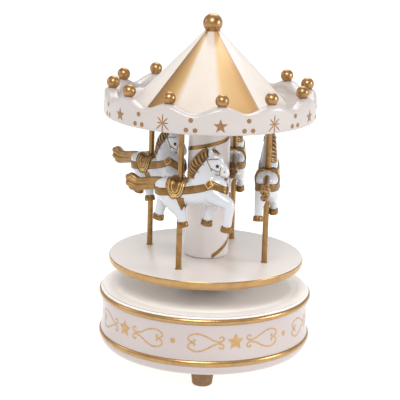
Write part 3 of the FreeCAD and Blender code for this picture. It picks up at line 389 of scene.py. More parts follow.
def lathe(name, corners, material, body, segments, arc_steps=14, closed=False, crisp=CRISP):
    """A turned piece from the corners of its outline."""
    vertices = []
    rows = []
    for radius, height in profile(corners, arc_steps):
        if radius < 1e-7:
            rows.append([len(vertices)] * segments)
            vertices.append((0, 0, height))
            continue
        rows.append([len(vertices) + step for step in range(segments)])
        for step in range(segments):
            turn = WHOLE_TURN * step / segments
            vertices.append((radius * math.cos(turn), radius * math.sin(turn), height))
    pairs = list(zip(rows, rows[1:]))
    if closed:
        pairs.append((rows[-1], rows[0]))
    faces = []
    for lower, upper in pairs:
        for step in range(segments):
            after = (step + 1) % segments
            corners = dict.fromkeys((lower[step], lower[after], upper[after], upper[step]))
            if len(corners) > 2:
                faces.append(tuple(corners))
    piece = new_piece(name, vertices, faces, material, body)
    tidy_mesh(piece.data)
    sharpen(piece.data, crisp)
    return piece


@contextmanager
def edited(mesh):
    """A mesh opened for editing, and written back afterwards."""
    work = bmesh.new()
    work.from_mesh(mesh)
    yield work
    work.to_mesh(mesh)
    work.free()
    mesh.update()


def tidy_mesh(mesh):
    """Weld what coincides and turn all faces outwards."""
    with edited(mesh) as work:
        bmesh.ops.remove_doubles(work, verts=work.verts, dist=1e-7)
        bmesh.ops.recalc_face_normals(work, faces=work.faces)


def sharpen(mesh, degrees):
    """Keep the edges that are sharper than an angle crisp."""
    with edited(mesh) as work:
        for edge in work.edges:
            if len(edge.link_faces) == 2:
                edge.smooth = edge.calc_face_angle(0.0) < math.radians(degrees)


def grid_faces(rows, columns, closed=False):
    """Quads over a grid of vertices stored row by row; a closed grid joins its last column to its first."""
    faces = []
    for first in range(0, (rows - 1) * columns, columns):
        for column in range(columns if closed else columns - 1):
            after = (column + 1) % columns
            upper = first + columns
            faces.append((first + column, first + after, upper + after, upper + column))
    return faces


def smooth_line(points, steps=8):
    """A Catmull-Rom line through the points, of any dimension."""
    count = len(points)
    line = []
    for index in range(count - 1):
        p0 = Vector(points[max(index - 1, 0)])
        p1 = Vector(points[index])
        p2 = Vector(points[index + 1])
        p3 = Vector(points[min(index + 2, count - 1)])
        for step in range(steps):
            t = step / steps
            line.append(
                0.5 * (2 * p1 + (p2 - p0) * t + (2 * p0 - 5 * p1 + 4 * p2 - p3) * t * t
                       + (3 * p1 - p0 - 3 * p2 + p3) * t * t * t)
            )
    line.append(Vector(points[-1]))
    return line


# ---------------------------------------------------------------- stage

# The camera, fitted to the photograph: angles in degrees, lens in millimetres, place in metres.
CAMERA_PITCH = math.radians(14.35)
CAMERA_YAW = math.radians(-0.29)
CAMERA_ROLL = math.radians(1.66)
CAMERA_LENS = 137.49
CAMERA_PLACE = (0, -0.7510, 0.2771)

LIGHTS = (
    # name, place and diameter in metres, watts
    ("front_softbox", (-0.10, -0.56, 0.72), 0.45, 4.0),
    ("back_softbox", (0.05, 0.55, 0.75), 0.60, 2.6),
    ("right_softbox", (0.90, -0.20, 0.35), 0.40, 3.2),
    ("left_softbox", (-0.85, 0.10, 0.45), 0.45, 0.7),
)
LIT_POINT = Vector((0, 0, 0.09))
FLOOR_HALF = 6.0


def build_stage():
    """A pale floor, soft studio light and the camera."""
    scene = bpy.context.scene
    scene.world = bpy.data.worlds.new("studio")
    scene.world.use_nodes = True
    background = scene.world.node_tree.nodes["Background"].inputs
    background["Color"].default_value = (1.0, 0.99, 0.985, 1)
    background["Strength"].default_value = 0.62
    corners = [(x * FLOOR_HALF, y * FLOOR_HALF, 0) for x, y in ((-1, -1), (1, -1), (1, 1), (-1, 1))]
    floor_mesh = bpy.data.meshes.new("floor")
    floor_mesh.from_pydata(corners, [], [(0, 1, 2, 3)])
    floor = bpy.data.objects.new("floor", floor_mesh)
    scene.collection.objects.link(floor)
    nodes = Nodes("floor_paper")
    tone = nodes.ramp(nodes.noise(3, 2, 0.5), [(0.3, shade(FULL, 0.3)), (0.7, shade(FULL, 0.34))])
    nodes.set(Base_Color=tone, Roughness=0.9, Emission_Color=FULL, Emission_Strength=0.86)
    floor_mesh.materials.append(nodes.material)
    for name, place, size, power in LIGHTS:
        light = bpy.data.lights.new(name, "AREA")
        light.shape = "DISK"
        light.size = size
        light.energy = power
        lamp = bpy.data.objects.new(name, light)
        lamp.location = place
        lamp.rotation_euler = (LIT_POINT - Vector(place)).to_track_quat("-Z", "Y").to_euler()
        scene.collection.objects.link(lamp)
    camera_data = bpy.data.cameras.new("camera")
    camera_data.sensor_width = 36
    camera_data.lens = CAMERA_LENS
    camera_data.clip_start = 0.01
    camera = bpy.data.objects.new("camera", camera_data)
    level = Vector((math.sin(CAMERA_YAW), math.cos(CAMERA_YAW), 0)) * math.cos(CAMERA_PITCH)
    forward = level - Vector((0, 0, math.sin(CAMERA_PITCH)))
    right = forward.cross(Vector((0, 0, 1))).normalized()
    up = right.cross(forward)
    rolled_right = right * math.cos(CAMERA_ROLL) + up * math.sin(CAMERA_ROLL)
    rolled_up = up * math.cos(CAMERA_ROLL) - right * math.sin(CAMERA_ROLL)
    turn = Matrix((rolled_right, rolled_up, -forward)).transposed()
    camera.matrix_world = Matrix.Translation(CAMERA_PLACE) @ turn.to_4x4()
    scene.collection.objects.link(camera)
    scene.camera = camera
    scene.view_settings.view_transform = "Standard"


# ---------------------------------------------------------------- base

WALL_LOW = BASE_LOW.z + 8.8
WALL_HIGH = BASE_HIGH.z - 5.2
WALL_EDGE_RADIUS = BASE_RADIUS - 0.9
WAIST_RADIUS = BASE_RADIUS - 1.9
PRINT_LIFT = 0.05


def base_wall_radius(z):
    """The hollow waist of the drum's wall, as a radius at a height."""
    share = (z - WALL_LOW) / (WALL_HIGH - WALL_LOW)
    return WALL_EDGE_RADIUS - (WALL_EDGE_RADIUS - WAIST_RADIUS) * (1 - (2 * share - 1) ** 2)


def build_base():
    """The drum, its two gilded rims, the printed frieze and the feet."""
    low = BASE_LOW.z
    top = BASE_HIGH.z - 0.9
    edge = WALL_EDGE_RADIUS
    waist_depth = edge - WAIST_RADIUS
    lower_rim = low + 6.7
    upper_rim = low + 28.9
    rim_half = 2.1
    foot = BASE_RADIUS - 5.3
    inside = 49.7
    opening = 46.4
    ceiling = top - 2.6
    spindle_hole = 5.0
    corners = [
        (opening, low),
        (foot - 0.5, low, -0.1),
        (foot, low + 0.3, -0.9),
        (edge, lower_rim - rim_half),
        (edge, lower_rim + rim_half, waist_depth),
        (edge, upper_rim - rim_half),
        (edge, upper_rim + 1.2, 0.35),
        (edge - 1.2, top, -0.1),
        (46.5, top + 0.15),
        (45.6, top + 0.55, -0.12),
        (7.6, top + 0.9),
        (spindle_hole, top + 0.9),
        (spindle_hole, ceiling),
        (inside, ceiling),
        (inside, low + 6.0),
        (opening, low + 2.2),
    ]
    drum = lathe("base_drum", corners, WHITE_TOP_LIT, "base", 240, closed=True)
    drum.data.materials.append(WHITE_WALL_SHADED)
    for polygon in drum.data.polygons:
        # Faces that look up take the lighter copy and the rest the darker one: painted light on the top,
        # painted shade on the wall.
        polygon.material_index = 0 if polygon.normal.z > 0.5 else 1
    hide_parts("base_shell")
    for name, middle, half in (("lower_rim", lower_rim + 0.5, 1.6), ("upper_rim", upper_rim - 0.45, 1.55)):
        bead = [
            (edge - 0.8, middle - half),
            (edge, middle - half, -0.95),
            (edge, middle + half),
            (edge - 0.8, middle + half),
        ]
        lathe(name, bead, RIM_GOLD, "base", 240, 20, closed=True)
    build_frieze()
    build_feet()


def wall_patch(name, outlines, place, material, body):
    """Flat shapes laid on a round wall: each outline is (vertices, faces) in arc length and height."""
    vertices = []
    faces = []
    for flat_vertices, flat_faces in outlines:
        first = len(vertices)
        vertices += [place(along, up) for along, up in flat_vertices]
        faces += [tuple(first + index for index in face) for face in flat_faces]
    new_piece(name, vertices, faces, material, body)


def on_circle(radius, turn):
    return (radius * math.cos(turn), radius * math.sin(turn))


def fan_shape(centre, outline, rings):
    """A closed outline about a centre, filled by rings."""
    count = len(outline)
    vertices = [centre]
    for ring in range(1, rings + 1):
        share = ring / rings
        vertices += [(centre[0] + x * share, centre[1] + y * share) for x, y in outline]
    faces = [(0, 1 + corner, 1 + (corner + 1) % count) for corner in range(count)]
    for face in grid_faces(rings, count, closed=True):
        inner, inner_after, outer_after, outer = (1 + index for index in face)
        faces.append((inner, outer, outer_after, inner_after))
    return vertices, faces


def star_shape(centre, radius, inner_share=0.42):
    """A five-pointed star."""
    outline = []
    for corner in range(10):
        reach = radius * inner_share if corner % 2 else radius
        outline.append(on_circle(reach, math.pi / 2 + math.pi * corner / 5))
    return fan_shape(centre, outline, 4)


def dot_shape(centre, radius):
    """A round dot."""
    return fan_shape(centre, [on_circle(radius, step * math.pi / 12) for step in range(24)], 3)


def stroke_shape(line, width, taper=0.15):
    """A painted line of even width along flat points, with slightly thinner ends."""
    vertices = []
    last = len(line) - 1
    for index, (x, y) in enumerate(line):
        before = line[max(index - 1, 0)]
        after = line[min(index + 1, last)]
        along = Vector((after[0] - before[0], after[1] - before[1])).normalized()
        half = width / 2 * (1 - taper if index in (0, last) else 1)
        vertices.append((x - along.y * half, y + along.x * half))
        vertices.append((x + along.y * half, y - along.x * half))
    return vertices, [(2 * i, 2 * i + 1, 2 * i + 3, 2 * i + 2) for i in range(last)]


HEART_LINE = (
    (0.13, 0.46),
    (0.10, 0.66),
    (0.03, 0.62),
    (0.01, 0.36),
    (0.07, 0.15),
    (0.17, 0.12),
    (0.31, 0.30),
    (0.53, 0.78),
    (0.74, 1.00),
    (0.91, 0.84),
    (0.99, 0.48),
    (0.95, 0.16),
    (0.86, 0.07),
    (0.80, 0.20),
    (0.84, 0.38),
)
HEART_HALF_HEIGHT = 4.5
HEART_STROKE = 0.8


def heart_strokes(start, length, middle):
    """One heart on its side: two mirrored lines, open and scrolled at start, lobed at its far end."""
    strokes = []
    for half_height in (HEART_HALF_HEIGHT, -HEART_HALF_HEIGHT):
        line = [(start + length * x, middle + half_height * y) for x, y in HEART_LINE]
        strokes.append(stroke_shape(smooth_line(line, 6), HEART_STROKE))
    return strokes


def build_frieze():
    """The printed frieze round the drum: star, heart, dot, heart, and again, in degrees of azimuth."""
    middle = BASE_LOW.z + 17.8
    degree = math.radians(1) * WAIST_RADIUS
    period = 65.5
    first_star = 17.5 - 2 * period
    star_to_dot = 31.5
    star_to_heart = 6.3
    heart_length = 19.5

    def place(along, up):
        return azimuth_point(base_wall_radius(up) + PRINT_LIFT, along / degree, up)

    shapes = []
    for repeat in range(5):
        star = first_star + period * repeat
        shapes.append(star_shape((star * degree, middle + 0.2), 4.4, 0.5))
        shapes.append(dot_shape(((star + star_to_dot) * degree, middle), 1.35))
        for side in (1, -1):
            start = star + side * star_to_heart
            shapes += heart_strokes(start * degree, side * heart_length * degree, middle)
    wall_patch("base_frieze", shapes, place, PRINT_GOLD, "base")


def build_feet():
    """Three tapered wooden pegs with softly rounded edges."""
    high = FOOT_HIGH.z
    wide = (FOOT_HIGH.x - FOOT_LOW.x) / 2
    ring = -(FOOT_LOW.y + FOOT_HIGH.y) / 2
    corners = [
        (0, 0),
        (wide - 2.3, 0, -0.45),
        (wide - 0.9, 1.4),
        (wide - 0.1, high - 1.2, -0.3),
        (wide - 1.0, high),
        (0, high),
    ]
    peg_gold = wood_board("peg_wood_gold", (164, 126, 84), (104, 72, 42), 90)
    for name, azimuth in (("foot_front", 0), ("foot_rear_right", 120), ("foot_rear_left", -120)):
        peg = lathe(f"{name}_peg", corners, peg_gold, "base", 72, 8)
        peg.data.transform(Matrix.Translation(azimuth_point(ring, azimuth, 0)))
        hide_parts(name)


# ---------------------------------------------------------------- platform and column


def build_platform():
    """The turntable: streaked white top and a gilded edge that rounds in underneath."""
    low = PLATFORM_LOW.z
    top = PLATFORM_HIGH.z
    wide = PLATFORM_RADIUS
    core = wide - 1.2
    disc = [
        (0, top),
        (wide - 0.75, top, 0.04),
        (wide - 0.3, top - 0.28),
        (core, top - 1.4),
        (core, low + 0.6),
        (0, low + 0.02),
    ]
    board = lathe("platform_board", disc, WHITE_PLATFORM, "carousel", 240)
    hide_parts("platform")
    band = [
        (wide - 1.25, top - 0.42),
        (wide - 0.42, top - 0.22, 0.08),
        (wide, top - 0.75),
        (wide, top - 2.6, 0.75),
        (wide - 3.3, low),
        (wide - 4.4, low),
        (wide - 4.4, low + 0.3),
        (wide - 1.25, low + 0.9),
    ]
    lathe("platform_edge", band, RIM_GOLD, "carousel", 240, closed=True)


RIBBON_STEPS = 520
RIBBON_START = 15.0  # azimuth of its lower end
RIBBON_SWEEP = 1075.0  # degrees round the column
RIBBON_HALF = 1.1
RIBBON_RISE = 1.0327 * 0.1150  # millimetres a degree at its foot
RIBBON_SLOWING = 1.0327 * 5.16e-5  # how fast the rise falls off, a degree squared
DEGREES_PER_RADIAN = 57.3


def build_column():
    """The centre column with its painted ribbon."""
    low = COLUMN_LOW.z
    high = COLUMN_HIGH.z
    foot = COLUMN_FOOT_RADIUS
    head = foot - 0.85
    round_height = 1.3
    corners = [
        (0, low),
        (foot - 1.3, low, -0.36),
        (foot - 0.03, low + round_height),
        (head, high),
        (0, high),
    ]
    post = lathe("column_post", corners, WHITE_COLUMN, "carousel", 128)
    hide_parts("column")
    vertices = []
    for step in range(RIBBON_STEPS + 1):
        swept = RIBBON_SWEEP * step / RIBBON_STEPS
        rise = (RIBBON_RISE - RIBBON_SLOWING * swept) * swept
        slope = RIBBON_RISE - 2 * RIBBON_SLOWING * swept
        tilt = math.hypot(1.0, slope * DEGREES_PER_RADIAN / foot)
        for side in (-1, -0.5, 0, 0.5, 1):
            up = max(0.12, 0.35 + RIBBON_HALF + rise + side * RIBBON_HALF * tilt * 0.9)
            share = min(1.0, up / (high - low))
            crown = 0.10 * (1 - side * side) + 0.06
            inset = 0.36 * max(0.0, round_height - up)
            radius = foot + (head - foot) * share + crown - inset
            vertices.append(azimuth_point(radius, RIBBON_START + swept, (low + up)))
    faces = grid_faces(RIBBON_STEPS + 1, 5)
    ribbon = new_piece("column_ribbon", vertices, faces, ROD_GOLD, "carousel")
    tidy_mesh(ribbon.data)


def build_rods():
    """The four poles, each a smooth tube with a little collar where it meets the platform."""
    floor = PLATFORM_HIGH.z
    for place in ("front_left", "front_right", "rear_right", "rear_left"):
        low, high = box(f"rod_{place}")
        centre = (low + high) / 2
        radius = (high.x - low.x) / 2
        corners = [
            (0, low.z),
            (radius, low.z),
            (radius, floor),
            (radius + 0.35, floor, -0.12),
            (radius + 0.02, floor + 0.45),
            (radius, high.z),
            (0, high.z),
        ]
        rod = lathe(f"pole_{place}", corners, ROD_GOLD, "carousel", 40, 6)
        rod.data.transform(Matrix.Translation(Vector((centre.x, centre.y, 0)) * MM))
        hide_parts(f"rod_{place}")


# ---------------------------------------------------------------- canopy

PEAK_AZIMUTH = 6.5
PEAK_SPACING = 30
CANOPY_PEAK = CANOPY_LOW.z + 13.4
VALLEY_DEPTH = 3.6


def build_canopy():
    """The scalloped ring, the striped cone inside it, the rim balls and the tip."""
    low = CANOPY_LOW.z
    wide = CANOPY_RADIUS
    inner = wide - 6.8
    half = (wide - inner) / 2
    trough = low + 7.2
    segments = 480
    lip_round = 10
    lip_rise = 3.0
    foot = low + 0.7
    vertices = []
    for step in range(segments):
        azimuth = 360 * step / segments
        wave = 0.5 + 0.5 * math.cos(math.radians(12 * (azimuth - PEAK_AZIMUTH)))
        lip = CANOPY_PEAK - VALLEY_DEPTH * (1 - wave) - lip_rise
        rows = [(wide - 3.0, low + 5.0), (wide - 3.0, low + 0.3), (wide - 2.7, low), (wide - 0.7, low)]
        rows += [(wide - 0.22, low + 0.2), (wide, foot)]
        rows += [(wide, foot + (lip - foot) * share) for share in (0.33, 0.66, 1.0)]
        for turn in range(1, lip_round):
            x, y = on_circle(1.0, math.pi * turn / lip_round)
            squared = math.copysign(abs(x) ** 0.75, x)
            rows.append((wide - half + half * squared, lip + lip_rise * y ** 0.75))
        rows += [(inner, lip), (inner, trough + 0.8), (inner - 0.8, trough), (inner - 10.0, trough - 0.1)]
        vertices += [azimuth_point(radius, azimuth, height) for radius, height in rows]
    columns = len(vertices) // segments
    faces = [tuple(corner % len(vertices) for corner in face) for face in grid_faces(segments + 1, columns)]
    ring = new_piece("canopy_ring", vertices, faces, WHITE, "carousel")
    tidy_mesh(ring.data)
    sharpen(ring.data, 60)
    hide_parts("canopy_shell")
    tip_radius = 4.0
    tip_height = 171.4
    slope = 1.03
    foot_radius = tip_radius + (tip_height - trough) / slope
    corners = [(foot_radius + 0.3, trough - 0.3), (tip_radius, tip_height), (0, tip_height)]
    lathe("canopy_cone", corners, CONE_PAINT, "carousel", 240, crisp=60)
    build_canopy_prints()
    build_balls()


def build_canopy_prints():
    """Stars and snowflakes under the peaks and three dots under each valley."""
    degree = math.radians(1) * CANOPY_RADIUS
    middle = CANOPY_LOW.z + 4.6

    def place(along, up):
        return azimuth_point(CANOPY_RADIUS + PRINT_LIFT, along / degree, up)

    shapes = []
    for index in range(12):
        if index % 2 == 0:
            shapes.append(star_shape(((5.5 + PEAK_SPACING * index) * degree, middle), 3.6))
        else:
            shapes += snowflake_strokes(((5.2 + PEAK_SPACING * index) * degree, middle))
        valley = (PEAK_AZIMUTH + 13.8 + PEAK_SPACING * index) * degree
        for across, up in ((0, 2.4), (-2.15, -2.3), (2.15, -2.3)):
            shapes.append(dot_shape((valley + across, middle + up), 1.15))
    wall_patch("canopy_prints", shapes, place, PRINT_BROWN, "carousel")


# Angle of each ray of a snowflake in degrees, and its length in millimetres.
SNOWFLAKE_RAYS = {90: 4.4, 270: 4.6, 0: 2.9, 180: 2.9, 45: 3.7, 135: 3.7, 225: 4.6, 315: 4.6}


def snowflake_strokes(centre):
    """Eight thin rays; the upright one and the lower diagonals are longer."""
    strokes = []
    for angle, reach in SNOWFLAKE_RAYS.items():
        x, y = on_circle(reach, math.radians(angle))
        line = [(centre[0] + x * share, centre[1] + y * share) for share in (0.06, 0.35, 0.7, 1.0)]
        strokes.append(stroke_shape(line, 0.62, 0.6))
    strokes.append(dot_shape(centre, 0.6))
    return strokes


BALL_STEPS = 40
BALL_FLAT = 0.965  # share of the radius at which a ball is cut flat, where it is pegged on


def ball_mesh(name, centre, radius):
    """A turned wooden ball with a small flat underneath."""
    outline = []
    for step in range(BALL_STEPS + 1):
        across, up = on_circle(radius, math.pi * (step / BALL_STEPS - 0.5))
        outline.append((across, max(up, -BALL_FLAT * radius)))
    ball = lathe(name, outline, BALL_GOLD, "carousel", 64, crisp=180)
    ball.data.transform(Matrix.Translation(centre))
    return ball


def build_balls():
    """Twelve rim balls and the one on the tip."""
    for index in range(12):
        centre = azimuth_point(BALL_RING_RADIUS, PEAK_AZIMUTH + PEAK_SPACING * index, BALL_HEIGHT)
        ball = ball_mesh(f"rim_ball_{index:02d}", centre, BALL_RADIUS)
        if index == 0:
            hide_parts("canopy_balls")
    radius = (FINIAL_HIGH.z - FINIAL_LOW.z) / 2
    tip = ball_mesh("tip_ball", Vector((0, 0, FINIAL_HIGH.z - radius)) * MM, radius)
    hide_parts("finial_ball")


# ---------------------------------------------------------------- horses
# X forward, Y to the horse's left, the pole at X 0 and Y 0, the saddle at Z 0.


WHITE_INDEX, TACK_INDEX, EDGE_INDEX, DARK_INDEX, HAIR_INDEX, BLACK_INDEX = range(6)
MASSES = (
    # centre, half sizes, pitch in degrees (nose up)
    ((4.6, 0, -6.4), (16.4, 5.3, 6.0), 3),
    ((-6.0, 0, -6.4), (7.8, 5.7, 6.8), -6),
    ((-5.4, -2.5, -4.0), (7.4, 3.1, 4.1), 0),
    ((-5.4, 2.5, -4.0), (7.4, 3.1, 4.1), 0),
    ((4.0, -2.3, -4.3), (11.0, 3.0, 3.7), 2),
    ((4.0, 2.3, -4.3), (11.0, 3.0, 3.7), 2),
    ((17.4, 0, -3.6), (8.8, 5.1, 7.4), 38),
    ((18.0, 0, 11.4), (5.3, 3.1, 4.5), -20),
    ((18.6, 0, 8.4), (3.4, 2.7, 3.6), 0),
    ((22.4, 0, 7.6), (4.4, 2.4, 3.3), -48),
    ((23.9, 0, 6.0), (2.6, 2.3, 2.5), -30),
)
LIMBS = (
    # knots of (x, y, z, radius), squeeze across: neck, front legs, hind legs, ears
    (((13.4, 0, -2.5, 8.4), (12.2, 0, 3.0, 7.2), (12.2, 0, 7.5, 5.8), (14.6, 0, 12.0, 4.3)), 0.60),
    (((19.0, -1.7, -5.0, 4.8), (24.2, -2.6, -6.8, 3.7), (28.4, -2.9, -8.6, 2.8),
      (28.2, -2.9, -13.5, 2.2), (27.5, -2.9, -18.6, 2.3)), 0.88),
    (((18.0, 1.7, -6.5, 4.6), (16.2, 2.6, -11.0, 3.3),
      (14.8, 2.9, -14.0, 2.6), (13.6, 2.9, -18.8, 2.1)), 0.88),
    (((-6.0, -1.4, -7.0, 5.6), (-1.6, -2.5, -11.8, 4.6),
      (1.8, -3.2, -15.4, 3.2), (3.3, -3.4, -19.6, 2.4)), 0.82),
    (((-7.6, 1.4, -7.0, 5.0), (-10.2, 2.6, -11.6, 3.8),
      (-12.2, 3.2, -15.4, 2.8), (-13.5, 3.4, -19.8, 2.4)), 0.82),
    (((17.2, -1.7, 14.6, 1.25), (16.9, -2.0, 16.6, 0.95), (16.7, -2.1, 18.2, 0.4)), 0.8),
    (((17.2, 1.7, 14.6, 1.25), (16.9, 2.0, 16.6, 0.95), (16.7, 2.1, 18.2, 0.4)), 0.8),
)

HOOVES = (
    # middle of the sole, the way the leg points
    ((27.2, -2.9, -22.0), (-0.08, 0, -1)),
    ((13.3, 2.9, -22.0), (-0.16, 0, -1)),
    ((3.8, -3.4, -23.1), (0.24, 0, -1)),
    ((-14.2, 3.4, -23.1), (-0.22, 0, -1)),
)


class Sculpt:
    """Shells gathered into one mesh, each with its material and how much painted shade falls in its grooves.
    """

    def __init__(self):
        self.vertices = []
        self.faces = []
        self.indices = []
        self.groove_shades = []

    def add(self, vertices, faces, index, groove_shades=None):
        first = len(self.vertices)
        self.vertices += [Vector(v) for v in vertices]
        self.faces += [tuple(first + corner for corner in face) for face in faces]
        self.indices += [index] * len(faces)
        self.groove_shades += groove_shades or [0.0] * len(vertices)

    def tube(self, points, radii, index, sides=10, flatten=1.0, groove_shade=0.0):
        """A round or flattened tube along points, closed at both ends by small caps."""
        count = len(points)
        vertices = []
        groove_shades = []
        across = Vector((0, 1, 0))
        for position, point in enumerate(points):
            before = Vector(points[max(position - 1, 0)])
            along = (Vector(points[min(position + 1, count - 1)]) - before).normalized()
            side = across - along * across.dot(along)
            side = side.normalized() if side.length > 0.2 else along.orthogonal().normalized()
            upward = side.cross(along).normalized()
            radius = radii[position] if isinstance(radii, list) else radii
            for step in range(sides):
                turn = WHOLE_TURN * step / sides
                out = side * math.cos(turn) * flatten + upward * math.sin(turn)
                vertices.append(Vector(point) + out * radius)
                # Painted shade along the tube's flanks, where it meets the locks beside it.
                groove_shades.append(groove_shade * abs(math.sin(turn)) ** 4)
        faces = grid_faces(count, sides, closed=True)
        for first, point in ((0, points[0]), (sides * (count - 1), points[-1])):
            middle = len(vertices)
            vertices.append(Vector(point))
            groove_shades.append(0.0)
            for step in range(sides):
                pair = (first + step, first + (step + 1) % sides)
                faces.append((middle, *(pair if first else pair[::-1])))
        self.add(vertices, faces, index, groove_shades)

    def plate(self, rows, index):
        """A sheet over rows of points."""
        self.add([point for row in rows for point in row], grid_faces(len(rows), len(rows[0])), index)

    def mesh(self, name):
        mesh = bpy.data.meshes.new(name)
        mesh.from_pydata([tuple(v * MM) for v in self.vertices], [], self.faces)
        mesh.polygons.foreach_set("material_index", self.indices)
        mesh.polygons.foreach_set("use_smooth", [True] * len(self.faces))
        groove_shade = mesh.attributes.new("groove_shade", "FLOAT", "POINT")
        groove_shade.data.foreach_set("value", self.groove_shades)
        with edited(mesh) as work:
            bmesh.ops.recalc_face_normals(work, faces=work.faces)
        return mesh


BODY_VOXEL = 0.42
SOFTENING_ROUNDS = 7


def horse_body():
    """The moulded body: rounded masses melted into one skin. Returns its vertices and faces."""
    work = bmesh.new()
    for centre, halves, pitch in MASSES:
        place = Matrix.Translation(centre) @ Matrix.Rotation(math.radians(-pitch), 4, "Y")
        scale = Matrix.Diagonal((*halves, 1.0))
        bmesh.ops.create_icosphere(work, subdivisions=4, radius=1.0, matrix=place @ scale)
    for knots, squeeze in LIMBS:
        for x, y, z, radius in smooth_line(knots, 12):
            place = Matrix.Translation((x, y, z)) @ Matrix.Diagonal((radius, radius * squeeze, radius, 1.0))
            bmesh.ops.create_icosphere(work, subdivisions=3, radius=1.0, matrix=place)
    mesh = bpy.data.meshes.new("horse_mould")
    work.to_mesh(mesh)
    work.free()
    mould = bpy.data.objects.new("horse_mould", mesh)
    bpy.context.scene.collection.objects.link(mould)
    remesh = mould.modifiers.new("melt", "REMESH")
    remesh.mode = "VOXEL"
    remesh.voxel_size = BODY_VOXEL
    soften = mould.modifiers.new("soften", "SMOOTH")
    soften.factor = 0.5
    soften.iterations = SOFTENING_ROUNDS
    shaped = mould.evaluated_get(bpy.context.evaluated_depsgraph_get())
    melted = shaped.to_mesh()
    vertices = [vertex.co.copy() for vertex in melted.vertices]
    faces = [tuple(polygon.vertices) for polygon in melted.polygons]
    shaped.to_mesh_clear()
    bpy.data.objects.remove(mould)
    bpy.data.meshes.remove(mesh)
    return vertices, faces


class Skin:
    """The body's surface, to lay tack and hair on."""

    reach = 60  # how far out the rays start
    axis = -5.2  # height that the back and flanks are seen from in over_back

    def __init__(self, vertices, faces):
        self.tree = BVHTree.FromPolygons(vertices, faces)

    def cast(self, aim, outward, lift):
        """The surface point seen along a direction towards an aim, lifted off by a distance."""
        outward = Vector(outward).normalized()
        place, normal, *_ = self.tree.ray_cast(Vector(aim) + outward * self.reach, -outward)
        return Vector(aim) if place is None else place + normal * lift

    def round_body(self, x, azimuth, z, lift):
        """A point on the body seen from an azimuth: 0 from the front, 90 from its left."""
        return self.cast((x, 0, z), (*on_circle(1.0, math.radians(azimuth)), 0), lift)

    def over_back(self, x, angle, lift):
        """A point on the body seen from an angle about its length: 0 from above, 90 from its left."""
        up, across = on_circle(1.0, math.radians(angle))
        return self.cast((x, 0, self.axis), (0, across, up), lift)

    def side(self, x, z, lift, hand):
        """A point on one flank; the right one is hand -1."""
        return self.cast((x, 0, z), (0, hand, 0), lift)


SADDLE_HALF = 4.9
SADDLE_DROP = 13.0  # millimetres over the body from the middle of the back to the end of a flap
SADDLE_END = 124.0  # angle of the flap's end
SADDLE_STRAIGHT = 0.42  # share of the way down at which the flap starts to round in
THIN = 0.02


def turned_down(columns, edge, lift, sunk):
    """Columns across a sheet and their heights; one more past each edge is sunk into the body."""
    return [(-edge, sunk)] + [(column, lift) for column in columns] + [(edge, sunk)]


def saddle_half(share, inset):
    """Half length of the saddle blanket at a share of the way down, drawn in by an inset."""
    end = 1 - inset / SADDLE_DROP
    if share >= end:
        return THIN
    half = SADDLE_HALF - inset
    if share <= SADDLE_STRAIGHT:
        return half
    reach = (share - SADDLE_STRAIGHT) / (end - SADDLE_STRAIGHT)
    return max(THIN, half * math.sqrt(1 - reach**2.2))


def saddle_sheet(sculpt, skin, inset, lift, index):
    """One layer of the saddle from flap to flap, its rim turned down to the body."""
    rows = []
    steps = 34
    for step in range(-steps, steps + 1):
        share = (1 - inset / SADDLE_DROP) * step / steps
        half = saddle_half(abs(share), inset)
        height = lift if abs(step) < steps else -0.25
        columns = turned_down((-1.0, -0.8, -0.5, -0.2, 0.2, 0.5, 0.8, 1.0), 1.04, height, -0.25)
        angle = share * SADDLE_END
        rows.append([skin.over_back(column * half, angle, height) for column, height in columns])
    sculpt.plate(rows, index)


def saddle_rim(sculpt, skin, inset, lift, radius, index):
    """A raised cord round each flap of the saddle, down its back edge and up its front."""
    steps = 36
    down = [(1 - inset / SADDLE_DROP) * math.sin(math.pi / 2 * step / steps) for step in range(4, steps + 1)]
    edge = [(-1, share) for share in down] + [(1, share) for share in down[-2::-1]]
    for hand in (-1, 1):
        points = [skin.over_back(side * saddle_half(share, inset), hand * share * SADDLE_END, lift)
                  for side, share in edge]
        sculpt.tube(points, radius, index, sides=8)

STRAP_LINE = (
    # axis x, azimuth from the front, height of the strap's middle
    (-10.0, 180, -5.6),
    (-10.5, 140, -6.2),
    (-9.5, 110, -6.5),
    (-8.0, 90, -6.4),
    (0.0, 90, -5.2),
    (6.0, 90, -4.0),
    (11.0, 90, -2.8),
    (15.0, 88, -1.5),
    (17.5, 66, 0.2),
    (18.0, 42, -0.4),
    (18.3, 20, -1.6),
    (18.3, 0, -2.4),
)


STRAP_HALF = 1.75
ACROSS_STRAP = (-1, -0.5, 0, 0.5, 1)


def strap(sculpt, skin, hand):
    """The breast and rump strap on one side, with a fine dark cord along each edge."""
    columns = turned_down(ACROSS_STRAP, 1.12, 0.28, -0.2)
    rows = []
    for x, azimuth, z in smooth_line(STRAP_LINE, 10):
        rows.append([skin.round_body(x, hand * azimuth, z + column * STRAP_HALF, height)
                     for column, height in columns])
    sculpt.plate(rows, TACK_INDEX)
    for offset in (1.7, -1.7):
        cord = [skin.round_body(x, hand * azimuth, z + offset, 0.22)
                for x, azimuth, z in smooth_line(STRAP_LINE, 8)]
        sculpt.tube(cord, 0.14, DARK_INDEX, sides=6)


def girth(sculpt, skin, hand):
    """The strap that tapers from under the saddle to the belly."""
    columns = turned_down(ACROSS_STRAP, 1.15, 0.3, -0.15)
    rows = []
    for step in range(13):
        share = step / 12
        half = 2.1 * (1 - share) + 0.12
        x = 2.4 + 1.3 * share
        z = -8.0 - 6.2 * share
        rows.append([skin.side(x + column * half, z, height, hand) for column, height in columns])
    sculpt.plate(rows, TACK_INDEX)


